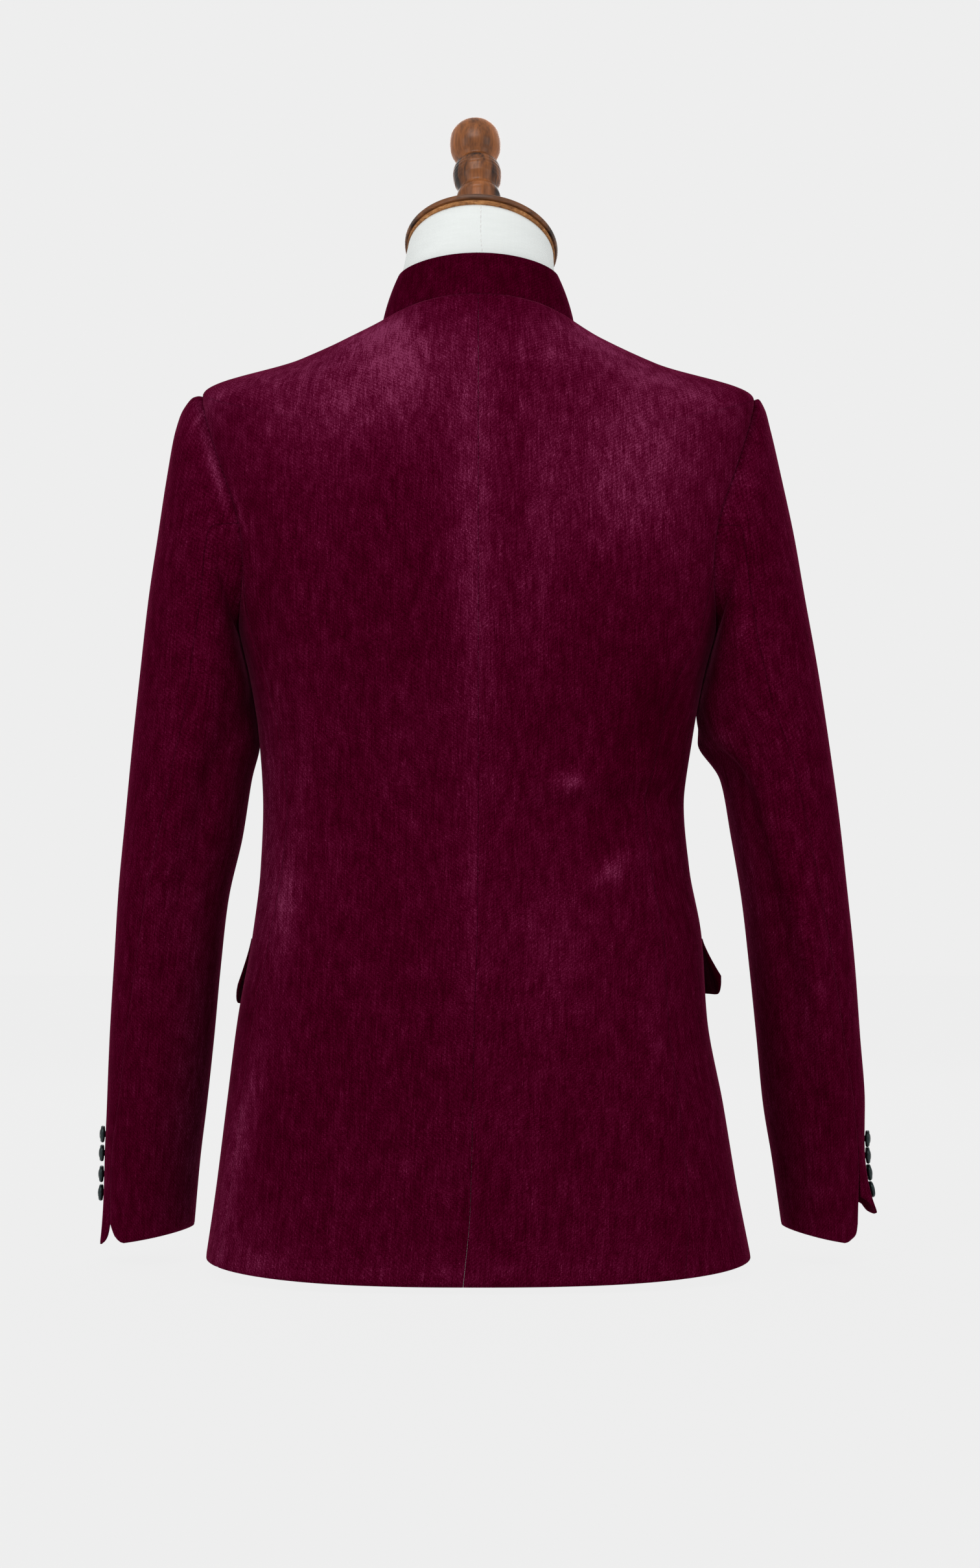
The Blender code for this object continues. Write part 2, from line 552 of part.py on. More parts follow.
def sleeve_angles(columns, rings):
    """Sleeve angles of the columns on each ring, so that columns follow the seams."""
    knots = np.array((0.0, HINDARM_COLUMN, 180.0, FOREARM_COLUMN, 360.0, 360.0 + HINDARM_COLUMN))
    table = []
    for ring in rings:
        hind, fore = float(HINDARM(ring)), float(FOREARM(ring))
        table.append(np.interp(columns, knots, (0.0, hind, 180.0, fore, 360.0, 360.0 + hind)))
    return np.array(table)


SLEEVE_STEPS = np.array((0.0, 0.3, 0.65, 1.0, 1.5, 2.0, 3.0, 4.0, 5.0, 6.0, 7.0, 8.0, 9.0, 10.0,
                         11.0, 12.0, 12.7, 13.3, 13.75, 14.1, 14.4, 15.0))


def sleeve_piece(name, side, columns, vent_at_end, corner):
    """Upper or under sleeve: a wall over the given columns, parted at both seams."""
    angles = sleeve_angles(columns, SLEEVE_STEPS)
    rings = np.repeat(SLEEVE_STEPS[:, None], len(columns), axis=1)
    vent, plain, inward = (-1, 0, -1.0) if vent_at_end else (0, -1, 1.0)
    from_vent = np.abs(angles[-1] - angles[-1, vent])
    cut, spread = corner[side]
    rings[-1] -= cut * smoothstep(1.0 - from_vent / spread)
    ahead, behind = sleeve_base(angles + 0.5, rings, side), sleeve_base(angles - 0.5, rings, side)
    degree = np.linalg.norm(ahead - behind, axis=-1)
    gap = SEAM_GAP / 2.0 + FOREARM_GAP * np.clip(1.0 - SLEEVE_STEPS / FOREARM_GAP_RINGS, 0.0, 1.0)
    below = np.clip((SLEEVE_STEPS - VENT_RING) / (CUFF_RING - VENT_RING), 0.0, 1.0)
    vent_gap = SEAM_GAP / 2.0 + VENT_OPEN[side] / 2.0 * below ** 1.5
    angles[:, plain] -= inward * gap / degree[:, plain]
    angles[:, vent] += inward * vent_gap / degree[:, vent]
    cloth_wall(name, sleeve_shell(angles, rings, side), sleeve_shell(angles, rings, side, -CLOTH))


def make_sleeve(side):
    columns = np.array(SLEEVE_COLUMNS, float)
    front_part = columns[columns >= FOREARM_COLUMN]
    back_part = columns[columns <= HINDARM_COLUMN] + 360.0
    upper = np.concatenate((front_part, back_part))
    under = columns[(columns >= HINDARM_COLUMN) & (columns <= FOREARM_COLUMN)]
    sleeve_piece("upper_sleeve_" + side, side, upper, True, UPPER_CORNER)
    sleeve_piece("under_sleeve_" + side, side, under, False, UNDER_CORNER)


def neck_stations():
    """Angles of the panels' points along the neckline, from the right front to the left."""
    past = math.degrees(math.atan2(FRONT_LAP, BODY_RINGS[-1].front))
    front = (90.0 + past) * FRONT_SHARES
    back = 90.0 * BACK_SHARES
    return np.concatenate((-front[::-1], 90.0 - back[-2::-1], 90.0 + back[1:-1], 180.0 + front))


def collar_line(angle, height):
    """Point of the collar's outer side, height from 0 at the seam to 1 at the top."""
    angle, height = np.broadcast_arrays(np.asarray(angle, float), np.asarray(height, float))
    stations = neck_stations()
    corners = body_base(stations, float(NECK_LEVEL))
    seam = np.stack([np.interp(angle, stations, corners[:, axis]) for axis in range(3)], axis=-1)
    along, across = np.cos(np.radians(angle)), np.sin(np.radians(angle))
    back, back_z = COLLAR_TOP_BACK
    front, front_z = COLLAR_TOP_FRONT
    depth = np.where(across >= 0, back, front)
    radius = ((along / COLLAR_TOP_HALF) ** 2 + (across / depth) ** 2) ** -0.5
    y = radius * across
    far_z = np.where(across >= 0, back_z, front_z)
    top_z = COLLAR_TOP_SIDE_Z + (far_z - COLLAR_TOP_SIDE_Z) * (y / depth) ** 2
    top = np.stack((radius * along, y, top_z), axis=-1)
    rise = unit(top - seam)
    start = seam + rise * COLLAR_SEAM_GAP
    outward = np.stack((along, across, np.zeros(along.shape)), axis=-1)
    bulge = COLLAR_BULGE * 4.0 * height * (1.0 - height)
    return start + (top - start) * height[..., None] + outward * bulge[..., None]


def make_collar():
    end = math.degrees(math.atan2(COLLAR_END_GAP / 2.0, COLLAR_TOP_FRONT[0]))
    angles = np.linspace(-90.0 + end, 270.0 - end, 37)
    corner = math.degrees(COLLAR_CORNER / COLLAR_TOP_FRONT[0])
    angles = np.sort(np.concatenate((angles, (-90.0 + end + corner / 3, 270.0 - end - corner / 3))))
    from_end = np.minimum(angles - angles[0], angles[-1] - angles) / corner
    drop = 1.0 - np.sqrt(1.0 - np.clip(1.0 - from_end, 0.0, 1.0) ** 2)
    height = float(np.linalg.norm(collar_line(270.0, 1.0) - collar_line(270.0, 0.0)))
    top = 1.0 - drop * COLLAR_CORNER / height
    heights = np.linspace(0.0, 1.0, 4)[:, None] * top
    angles = np.repeat(angles[None, :], 4, axis=0)
    outer = collar_line(angles, heights)
    around = collar_line(angles + 0.2, heights) - collar_line(angles - 0.2, heights)
    upward = collar_line(angles, heights + 0.02) - collar_line(angles, heights - 0.02)
    inner = outer - unit(np.cross(around, upward)) * COLLAR_CLOTH
    cloth_wall("collar", outer, inner)


def level_at(height):
    """Level of the body's ring at a height below the chest."""
    heights = [ring.side_z for ring in BODY_RINGS]
    return smooth(heights, range(len(heights)))(height)


def make_flap(side):
    rear, front = FLAP_ANGLES[side]
    share = np.linspace(0.0, 1.0, 12)
    angles = rear + (front - rear) * share
    length = abs(math.radians(front - rear)) * 0.17
    from_end = np.minimum(share, 1.0 - share) * length / FLAP_CORNER
    drop = 1.0 - np.sqrt(1.0 - np.clip(1.0 - from_end, 0.0, 1.0) ** 2)
    fall = FLAP_DROP[side] - drop * FLAP_CORNER
    down = np.linspace(0.0, 1.0, 5)[:, None]
    levels = level_at(FLAP_TOP_Z - down * fall)
    rear_flare, front_flare = FLAP_FLARE[side]
    flare = (rear_flare + (front_flare - rear_flare) * share) * down ** 1.3
    angles = np.repeat(angles[None, :], 5, axis=0)
    near = FLAP_GAP + flare
    cloth_wall("flap_" + side, body_shell(angles, levels, near + FLAP_CLOTH), body_shell(angles, levels, near))


def turned(name, profile, matrix, steps, material):
    """Solid of revolution about its own Z axis, from a profile of (radius, height)."""
    mesh = bpy.data.meshes.new(name)
    verts = [(radius, 0.0, height) for radius, height in profile]
    mesh.from_pydata(verts, [(i, i + 1) for i in range(len(verts) - 1)], [])
    obj = bpy.data.objects.new(name, mesh)
    obj.matrix_world = matrix
    screw = obj.modifiers.new("turn", "SCREW")
    screw.steps = screw.render_steps = steps
    screw.use_merge_vertices = True
    screw.merge_threshold = 0.0001
    screw.use_smooth_shade = True
    return link(obj, material)


def placed(point, normal):
    """Matrix that puts a turned piece's axis on a normal at a point."""
    turn = Vector(normal).to_track_quat("Z", "Y")
    return Matrix.LocRotScale(Vector(point), turn, None)


def make_button(name, point, normal, diameter):
    """Rimmed disc on a shank whose foot is just clear of the cloth."""
    radius, top = diameter / 2.0, BUTTON_SHANK + BUTTON_THICKNESS
    profile = ((0.0, top - 0.0008), (radius * 0.6, top - 0.0008), (radius * 0.82, top),
               (radius, top - BUTTON_THICKNESS * 0.5), (radius * 0.8, BUTTON_SHANK),
               (SHANK_RADIUS, BUTTON_SHANK), (SHANK_RADIUS, 0.0), (0.0, 0.0))
    lift = Vector(normal) * SEAM_GAP * 1.5
    turned(name, profile, placed(Vector(point) + lift, normal), 12, "button_metal")


def make_cuff_buttons(side):
    for number, ring in enumerate(CUFF_BUTTON_RINGS[side], 1):
        angle = float(HINDARM(ring)) - CUFF_BUTTON_INSET
        point = sleeve_shell(np.array([angle]), np.array([ring]), side)[0]
        around = sleeve_shell(angle + 4.0, ring, side) - sleeve_shell(angle - 4.0, ring, side)
        down = sleeve_shell(angle, ring + 0.1, side) - sleeve_shell(angle, ring - 0.1, side)
        normal = unit(SIDES[side] * np.cross(down, around))
        make_button("cuff_button_%s_%d" % (side, number), point, normal, CUFF_BUTTON)


def make_front_buttons():
    for number, height in enumerate(FRONT_BUTTON_HEIGHTS, 1):
        level = np.array([float(level_at(height))])
        angle = np.array([FRONT_CENTRE])
        make_button("front_button_%d" % number, body_shell(angle, level)[0],
                    body_normal(angle, level)[0], FRONT_BUTTON)


def cap_matrix():
    """Frame of the neck cap: its middle, with +Z along the finial."""
    turn = Matrix.Rotation(math.radians(CAP_TILT), 4, "X") @ Matrix.Rotation(math.radians(CAP_LEAN), 4, "Y")
    return Matrix.Translation(CAP_CENTRE) @ turn


def make_form():
    clearance = smooth(*zip(*FORM_CLEARANCE))
    stations = neck_stations()
    angles = np.concatenate(((-90.0,), stations[(stations > -89.0) & (stations < 269.0)]))
    forward = smoothstep(-np.sin(np.radians(angles)) / 0.3)
    rings = []
    for level in FORM_LEVELS:
        inside = CLOTH + float(clearance(level)) + FORM_FRONT_CLEARANCE * forward
        base = body_base(angles, float(level))
        rings.append(base - body_normal(angles, float(level)) * inside[:, None])
    floor = rings[0].copy()
    floor[:, 2] = 0.0
    rings.insert(0, floor)
    along, across = np.cos(np.radians(angles)), np.sin(np.radians(angles))
    for ring in NECK_RINGS:
        depth = np.where(across >= 0, ring.back, ring.front)
        far_z = np.where(across >= 0, ring.back_z, ring.front_z)
        z = ring.side_z + (far_z - ring.side_z) * across ** 2
        rings.append(np.stack((along * ring.half, across * depth, z), axis=-1))
    under = -CAP_THICKNESS / 2.0 - SEAM_GAP
    top = [cap_matrix() @ Vector((x * NECK_TOP_HALF, y * NECK_TOP_HALF, under)) for x, y in zip(along, across)]
    rings.append(np.array(top))
    closed_loft("form_body", rings, "linen")


def make_cap():
    half, edge = CAP_THICKNESS / 2.0, CAP_RADIUS
    profile = ((0.0, half), (edge - 0.008, half), (edge - 0.0025, half - 0.0012), (edge, 0.0),
               (edge - 0.001, -half + 0.0008), (edge - 0.003, -half), (0.0, -half))
    turned("form_cap", profile, cap_matrix(), 32, "walnut")


def make_finial():
    """Turned finial on its own leaning axis, its foot flat on the cap."""
    axis, foot = unit(np.array(FINIAL_AXIS)), np.array(FINIAL_FOOT)
    cap_up = np.array(cap_matrix().to_3x3() @ Vector((0.0, 0.0, 1.0)))
    across = unit(np.cross(axis, (0.0, 1.0, 0.0)))
    forward = np.cross(axis, across)
    turn = np.radians(np.linspace(0.0, 360.0, FINIAL_SIDES, endpoint=False))[:, None]
    rings = []
    for height, radius in FINIAL_PROFILE:
        spoke = radius * (np.cos(turn) * across + np.sin(turn) * forward)
        level = 1.0 - smoothstep(height / FINIAL_LEVEL_HEIGHT)
        rise = height - level * (spoke @ cap_up) / (axis @ cap_up)
        rings.append(foot + axis * rise[:, None] + spoke)
    closed_loft("form_finial", rings, "walnut")


for old in list(bpy.data.objects):
    bpy.data.objects.remove(old)
COLLECTION = bpy.data.collections.new("prince_coat")
bpy.context.scene.collection.children.link(COLLECTION)

make_form()
make_cap()
make_finial()
for name in SIDES:
    make_back(name)
    make_side(name)
    make_front(name)
    make_sleeve(name)
    make_flap(name)
    make_cuff_buttons(name)
make_collar()
make_front_buttons()
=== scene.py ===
"""Looks of the prince coat and of the dress form that wears it.

Metres, +Z up; the wearer faces -Y, so the camera behind the coat stands at +Y.
Each cloth piece is a thin shell on the surface of its solid. An angle round the
body starts at the left side and passes the back at 90 degrees; an angle round a
sleeve starts at its outer side and passes its back at 90 degrees.
"""
import math
from collections import namedtuple

import bpy
import numpy as np
from mathutils import Matrix, Vector


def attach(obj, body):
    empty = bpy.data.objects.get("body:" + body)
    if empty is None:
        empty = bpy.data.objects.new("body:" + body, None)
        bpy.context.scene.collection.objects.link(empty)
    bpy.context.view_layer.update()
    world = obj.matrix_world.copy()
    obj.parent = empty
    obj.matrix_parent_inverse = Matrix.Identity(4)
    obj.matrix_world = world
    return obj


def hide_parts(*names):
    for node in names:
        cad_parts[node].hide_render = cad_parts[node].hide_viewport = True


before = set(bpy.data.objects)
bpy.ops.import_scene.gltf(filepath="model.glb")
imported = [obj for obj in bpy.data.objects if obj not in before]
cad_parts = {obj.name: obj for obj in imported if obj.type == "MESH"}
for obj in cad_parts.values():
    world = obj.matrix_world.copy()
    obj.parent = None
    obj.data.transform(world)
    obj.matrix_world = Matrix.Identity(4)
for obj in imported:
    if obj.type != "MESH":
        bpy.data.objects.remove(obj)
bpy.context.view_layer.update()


# Dress form: a limbless torso, padded and covered in off-white linen, with a
# hand-sewn seam up the back of the neck. It fills the coat and stands on its flat
# base, so the coat's rings come first and the form lies a little inside them.
SIDES = {"left": 1.0, "right": -1.0}


def smooth(places, values):
    """Monotone cubic through the given values, as a function of an array."""
    places = np.array(places, float)
    values = np.array(values, float)
    steps = np.diff(places)
    slopes = np.diff(values) / steps
    tangents = np.concatenate((slopes[:1], np.zeros(len(slopes) - 1), slopes[-1:]))
    same_way = slopes[:-1] * slopes[1:] > 0
    product = np.where(same_way, slopes[:-1] * slopes[1:], 0.0)
    total = np.where(same_way, slopes[:-1] + slopes[1:], 1.0)
    tangents[1:-1] = 2.0 * product / total

    def curve(place):
        index = np.clip(np.searchsorted(places, place, side="right") - 1, 0, len(steps) - 1)
        step = steps[index]
        t = (place - places[index]) / step
        rise = values[index + 1] - values[index]
        start = tangents[index] * step
        end = tangents[index + 1] * step
        return values[index] + t * (start + t * (3 * rise - 2 * start - end + t * (start + end - 2 * rise)))

    return curve


def column_curves(rows):
    """One smooth curve for each named column of a table."""
    return {name: smooth(range(len(rows)), [getattr(row, name) for row in rows])
            for name in rows[0]._fields}


def unit(vectors):
    return vectors / np.linalg.norm(vectors, axis=-1, keepdims=True)


def smoothstep(value):
    value = np.clip(value, 0.0, 1.0)
    return value * value * (3.0 - 2.0 * value)


# The body's rings from hem to neckline: the height of each at back, side and
# front, its half widths to the left and right, its depths to the back and front,
# and the power of its outline, 2 for an ellipse and more for a squarer one.
BodyRing = namedtuple("BodyRing", "back_z side_z front_z left right back front power")
BODY_RINGS = [BodyRing(*row) for row in (
    (0.0056, 0.0130, 0.0070, 0.2198, 0.2198, 0.1440, 0.1460, 2.60),
    (0.0670, 0.0670, 0.0670, 0.2119, 0.2091, 0.1390, 0.1420, 2.60),
    (0.1360, 0.1360, 0.1360, 0.2033, 0.1977, 0.1330, 0.1360, 2.55),
    (0.2050, 0.2050, 0.2050, 0.1945, 0.1850, 0.1260, 0.1310, 2.50),
    (0.2700, 0.2700, 0.2700, 0.1830, 0.1808, 0.1160, 0.1240, 2.45),
    (0.3250, 0.3250, 0.3250, 0.1765, 0.1710, 0.1050, 0.1170, 2.40),
    (0.3750, 0.3750, 0.3750, 0.1745, 0.1668, 0.0990, 0.1140, 2.40),
    (0.4305, 0.4305, 0.4305, 0.1776, 0.1736, 0.1040, 0.1170, 2.50),
    (0.4750, 0.4750, 0.4750, 0.1840, 0.1815, 0.1100, 0.1210, 2.70),
    (0.5150, 0.5150, 0.5150, 0.1930, 0.1915, 0.1150, 0.1240, 2.90),
    (0.5680, 0.5820, 0.5700, 0.2075, 0.2075, 0.1190, 0.1230, 3.10),
    (0.6160, 0.6480, 0.6130, 0.2180, 0.2180, 0.1185, 0.1150, 3.05),
    (0.6660, 0.7068, 0.6560, 0.2227, 0.2227, 0.1130, 0.1030, 2.75),
    (0.7150, 0.7350, 0.6880, 0.1460, 0.1460, 0.1035, 0.0940, 2.35),
    (0.7760, 0.7640, 0.7140, 0.0784, 0.0784, 0.0750, 0.0860, 2.10),
)]
UNDERARM_LEVEL = 9
SHOULDER_LEVEL = 12
NECK_LEVEL = 14
# How much lower the right shoulder lies than the left, by level.
SHOULDER_DROP = ((0, 0.0), (8, 0.0), (12, 0.0032), (13, 0.0034), (13.6, 0.0030), (14, 0.0))
DROP_SPREAD = 0.75        # share of the half width over which it comes in
BODY = column_curves(BODY_RINGS)
DROP = smooth(*zip(*SHOULDER_DROP))


def ring_height(level, y, depth):
    """Height of a body ring at a distance y behind the middle."""
    side_z = BODY["side_z"](level)
    far_z = np.where(y >= 0, BODY["back_z"](level), BODY["front_z"](level))
    return side_z + (far_z - side_z) * (y / depth) ** 2


def body_base(angle, level):
    """Point of the unfolded body at an angle in degrees and a ring level."""
    angle, level = np.broadcast_arrays(np.radians(angle), np.asarray(level, float))
    along, across = np.cos(angle), np.sin(angle)
    half = np.where(along >= 0, BODY["left"](level), BODY["right"](level))
    depth = np.where(across >= 0, BODY["back"](level), BODY["front"](level))
    power = BODY["power"](level)
    radius = ((np.abs(along) / half) ** power + (np.abs(across) / depth) ** power) ** (-1.0 / power)
    x, y = radius * along, radius * across
    z = ring_height(level, y, depth) - DROP(level) * smoothstep(-x / (DROP_SPREAD * half))
    return np.stack((x, y, z), axis=-1)


def body_normal(angle, level):
    around = body_base(angle + 0.2, level) - body_base(angle - 0.2, level)
    upward = body_base(angle, level + 0.01) - body_base(angle, level - 0.01)
    return unit(np.cross(around, upward))


FORM_WALL = 0.0020        # the cloth's real thickness, which the form stays clear of
# The form's distance inside the coat's wall, by the level of the body's rings.
FORM_CLEARANCE = ((0, 0.0450), (1, 0.0360), (2, 0.0270), (3, 0.0190), (4, 0.0120),
                  (6, 0.0080), (8, 0.0070), (9, 0.0060), (10, 0.0045), (11, 0.0035),
                  (11.6, 0.0050), (12, 0.0032), (12.55, 0.0008), (13, 0.0006), (14, 0.0010))
FORM_FRONT_CLEARANCE = 0.0050          # more in front, for the lap of the fronts
FORM_LEVELS = (0, 1, 2, 3, 4, 5, 6, 7, 8, 9, 9.7, 10.4, 11, 11.5, 12, 12.25, 12.55, 12.9, 13.3, 13.65)
NeckRing = namedtuple("NeckRing", "back_z side_z front_z half back front")
NECK_RINGS = [NeckRing(*row) for row in (
    (0.7745, 0.7635, 0.7130, 0.0725, 0.0690, 0.0775),
    (0.7990, 0.7880, 0.7400, 0.0645, 0.0565, 0.0735),
    (0.8230, 0.8080, 0.7690, 0.0617, 0.0485, 0.0715),
)]
NECK_TOP_HALF = 0.0594
NECK_TOP_GAP = 0.0002     # between the linen and the cap's underside
CAP_CENTRE = (-0.0023, -0.0150, 0.8329)
CAP_TILT = 27.5           # degrees the cap is turned toward the front
CAP_LEAN = -3.8           # and toward the wearer's right
CAP_THICKNESS = 0.0080


def cap_matrix():
    """Frame of the neck cap: its middle, with +Z along the finial."""
    turn = Matrix.Rotation(math.radians(CAP_TILT), 4, "X") @ Matrix.Rotation(math.radians(CAP_LEAN), 4, "Y")
    return Matrix.Translation(CAP_CENTRE) @ turn


def outward_volume(mesh):
    mesh.calc_loop_triangles()
    points = np.zeros(len(mesh.vertices) * 3, np.float32)
    mesh.vertices.foreach_get("co", points)
    corners = np.zeros(len(mesh.loop_triangles) * 3, np.int32)
    mesh.loop_triangles.foreach_get("vertices", corners)
    a, b, c = np.moveaxis(points.reshape(-1, 3)[corners.reshape(-1, 3)].astype(float), 1, 0)
    return float((a * np.cross(b, c)).sum() / 6.0)


def finished(name, mesh, material):
    """Smooth object of a closed mesh, its faces turned outward."""
    obj = bpy.data.objects.new(name, mesh)
    bpy.context.scene.collection.objects.link(obj)
    if outward_volume(mesh) < 0.0:
        mesh.flip_normals()
    mesh.shade_smooth()
    mesh.materials.append(material)
    return obj


def stand_in(obj, node):
    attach(obj, "root")
    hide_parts(node)


def lofted(name, rings, material, node):
    """Closed piece through rings of points, with a middle point at each end."""
    rings = np.asarray(rings)
    count, sides = rings.shape[:2]
    verts = np.concatenate((rings.reshape(-1, 3), rings[:1].mean(axis=1), rings[-1:].mean(axis=1)))
    index = np.arange(count * sides).reshape(count, sides)
    after = np.roll(index, -1, axis=1)
    faces = np.stack((index[:-1], after[:-1], after[1:], index[1:]), axis=-1).reshape(-1, 4).tolist()
    first, last = count * sides, count * sides + 1
    faces += [(first, b, a) for a, b in zip(index[0].tolist(), after[0].tolist())]
    faces += [(last, a, b) for a, b in zip(index[-1].tolist(), after[-1].tolist())]
    mesh = bpy.data.meshes.new(name)
    mesh.from_pydata(verts.tolist(), [], faces)
    stand_in(finished(name, mesh, material), node)


def finer(rings, steps):
    """Smooth rings between the given ones."""
    rings = np.asarray(rings)
    places = np.linspace(0.0, len(rings) - 1.0, (len(rings) - 1) * steps + 1)
    columns = rings.reshape(len(rings), -1).T
    made = np.stack([smooth(range(len(rings)), column)(places) for column in columns], axis=-1)
    return made.reshape(len(places), *rings.shape[1:])


def put(tree, value, socket):
    """Gives a socket its value, or joins what feeds it."""
    if isinstance(value, bpy.types.NodeSocket):
        tree.links.new(value, socket)
    else:
        socket.default_value = value


def feed(tree, node, **given):
    """Gives a node its settings, and its sockets their values or what feeds them."""
    for key, value in given.items():
        if hasattr(node, key):
            setattr(node, key, value)
        else:
            put(tree, value, node.inputs[key.replace("_", " ")])
    return node


STITCH_SEED = 7
STITCH_SPREAD = (0.88, 1.06)           # smallest and largest of a row, as shares
STITCH_SOCKETS = (
    ("Line", "INPUT", "Geometry"), ("Pitch", "INPUT", "Float"), ("Length", "INPUT", "Float"),
    ("Thickness", "INPUT", "Float"), ("Thread", "INPUT", "Material"), ("Stitches", "OUTPUT", "Geometry"),
)


def stitch_tree():
    """Tree that lays short threads end to end along a line of edges."""
    tree = bpy.data.node_groups.new("stitches", "GeometryNodeTree")
    for name, way, kind in STITCH_SOCKETS:
        tree.interface.new_socket(name, in_out=way, socket_type="NodeSocket" + kind)

    def node(kind, **given):
        return feed(tree, tree.nodes.new(kind), **given)

    line = node("NodeGroupInput").outputs
    path = node("GeometryNodeMeshToCurve", Mesh=line["Line"])
    places = node("GeometryNodeCurveToPoints", mode="LENGTH", Curve=path.outputs["Curve"],
                  Length=line["Pitch"])
    thread = node("GeometryNodeMeshUVSphere", Segments=8, Rings=7, Radius=0.5)
    size = node("ShaderNodeCombineXYZ", X=line["Thickness"], Y=line["Thickness"], Z=line["Length"])
    turn = node("FunctionNodeAlignRotationToVector", axis="Z", Vector=places.outputs["Tangent"])
    uneven = node("FunctionNodeRandomValue", data_type="FLOAT", Seed=STITCH_SEED)
    uneven.inputs[2].default_value, uneven.inputs[3].default_value = STITCH_SPREAD
    scale = node("ShaderNodeVectorMath", operation="SCALE", Scale=uneven.outputs[1])
    tree.links.new(size.outputs["Vector"], scale.inputs[0])
    copies = node("GeometryNodeInstanceOnPoints", Points=places.outputs["Points"],
                  Instance=thread.outputs["Mesh"], Rotation=turn.outputs["Rotation"],
                  Scale=scale.outputs["Vector"])
    real = node("GeometryNodeRealizeInstances", Geometry=copies.outputs["Instances"])
    soft = node("GeometryNodeSetShadeSmooth", Geometry=real.outputs["Geometry"])
    dressed = node("GeometryNodeSetMaterial", Geometry=soft.outputs["Geometry"], Material=line["Thread"])
    node("NodeGroupOutput", Stitches=dressed.outputs["Geometry"])
    return tree


def stitch_row(name, tree, line, pitch, length, thickness, thread):
    """Mesh of the stitches along a line of points, from the tree."""
    mesh = bpy.data.meshes.new(name + "_line")
    mesh.from_pydata(line.tolist(), [(i, i + 1) for i in range(len(line) - 1)], [])
    obj = bpy.data.objects.new(name + "_line", mesh)
    bpy.context.scene.collection.objects.link(obj)
    modifier = obj.modifiers.new("stitches", "NODES")
    modifier.node_group = tree
    wanted = {"Pitch": pitch, "Length": length, "Thickness": thickness, "Thread": thread}
    for socket in tree.interface.items_tree:
        if socket.name in wanted:
            modifier[socket.identifier] = wanted[socket.name]
    seen = obj.evaluated_get(bpy.context.evaluated_depsgraph_get())
    made = bpy.data.objects.new(name, bpy.data.meshes.new_from_object(seen))
    bpy.context.scene.collection.objects.link(made)
    bpy.data.objects.remove(obj)
    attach(made, "root")
    return made


class Nodes:
    """A material's node tree with short ways to add and join nodes."""

    def __init__(self, name):
        self.material = bpy.data.materials.new(name)
        self.material.use_nodes = True
        self.tree = self.material.node_tree
        self.surface = {}

    def node(self, kind, **given):
        return feed(self.tree, self.tree.nodes.new(kind), **given)

    def set(self, **given):
        feed(self.tree, self.tree.nodes["Principled BSDF"], **given)

    def cloth_places(self):
        return self.node("ShaderNodeUVMap", uv_map="cloth").outputs["UV"]

    def object_places(self):
        return self.node("ShaderNodeTexCoord").outputs["Object"]

    def scaled(self, source, scale, turn=0.0):
        turned = (0.0, 0.0, math.radians(turn))
        return self.node("ShaderNodeMapping", Vector=source, Scale=scale, Rotation=turned).outputs["Vector"]

    def noise(self, places, scale, detail=2.0, roughness=0.5):
        return self.node("ShaderNodeTexNoise", Vector=places, Scale=scale, Detail=detail,
                         Roughness=roughness).outputs["Fac"]

    def grain(self, places, scale, detail=2.0, roughness=0.5):
        """Noise that is stretched or squeezed along the axes."""
        return self.noise(self.scaled(places, scale), 1.0, detail, roughness)

    def wave(self, places, scale, distortion=0.0, direction="X"):
        return self.node("ShaderNodeTexWave", wave_type="BANDS", bands_direction=direction, Vector=places,
                         Scale=scale, Distortion=distortion, Detail=1.0).outputs["Fac"]

    def math(self, operation, *values):
        made = self.node("ShaderNodeMath", operation=operation)
        for socket, value in zip(made.inputs, values):
            put(self.tree, value, socket)
        return made.outputs["Value"]

    def total(self, *terms):
        """Sum of value times weight."""
        parts = [self.math("MULTIPLY", value, weight) for value, weight in terms]
        result = parts[0]
        for part in parts[1:]:
            result = self.math("ADD", result, part)
        return result

    def spread(self, value, low, high, to_low=0.0, to_high=1.0):
        return self.node("ShaderNodeMapRange", Value=value, From_Min=low, From_Max=high, To_Min=to_low,
                         To_Max=to_high).outputs["Result"]

    def colours(self, value, *stops):
        made = self.node("ShaderNodeValToRGB", Fac=value)
        ramp = made.color_ramp
        while len(ramp.elements) < len(stops):
            ramp.elements.new(0.5)
        for element, (place, colour) in zip(ramp.elements, stops):
            element.position = place
            element.color = (*colour, 1.0)
        return made.outputs["Color"]

    def bump(self, height, distance, strength=1.0):
        made = self.node("ShaderNodeBump", Height=height, Distance=distance, Strength=strength,
                         **self.surface)
        self.surface = {"Normal": made.outputs["Normal"]}
        self.set(**self.surface)


def linen_material():
    """Plain weave of off-white threads with a few slubs."""
    made = Nodes("linen_cover")
    places = made.object_places()
    across = made.wave(made.scaled(places, (1.0, 1.0, 0.02)), 330.0, 0.5, direction="X")
    along = made.wave(made.scaled(places, (0.02, 0.02, 1.0)), 330.0, 0.5, direction="Z")
    weave = made.math("ADD", across, along)
    slub = made.grain(places, (40.0, 40.0, 300.0), 3.0)
    broad = made.noise(places, 18.0, 2.0)
    tone = made.spread(made.total((weave, 0.05), (slub, 0.3), (broad, 0.5)), 0.20, 0.70)
    made.set(Base_Color=made.colours(tone, (0.0, (0.69, 0.72, 0.705)), (1.0, (0.79, 0.82, 0.805))),
             Roughness=0.88, Specular_IOR_Level=0.2, Sheen_Weight=0.12)
    made.bump(made.total((weave, 0.3), (slub, 0.5)), 0.00012)
    return made.material


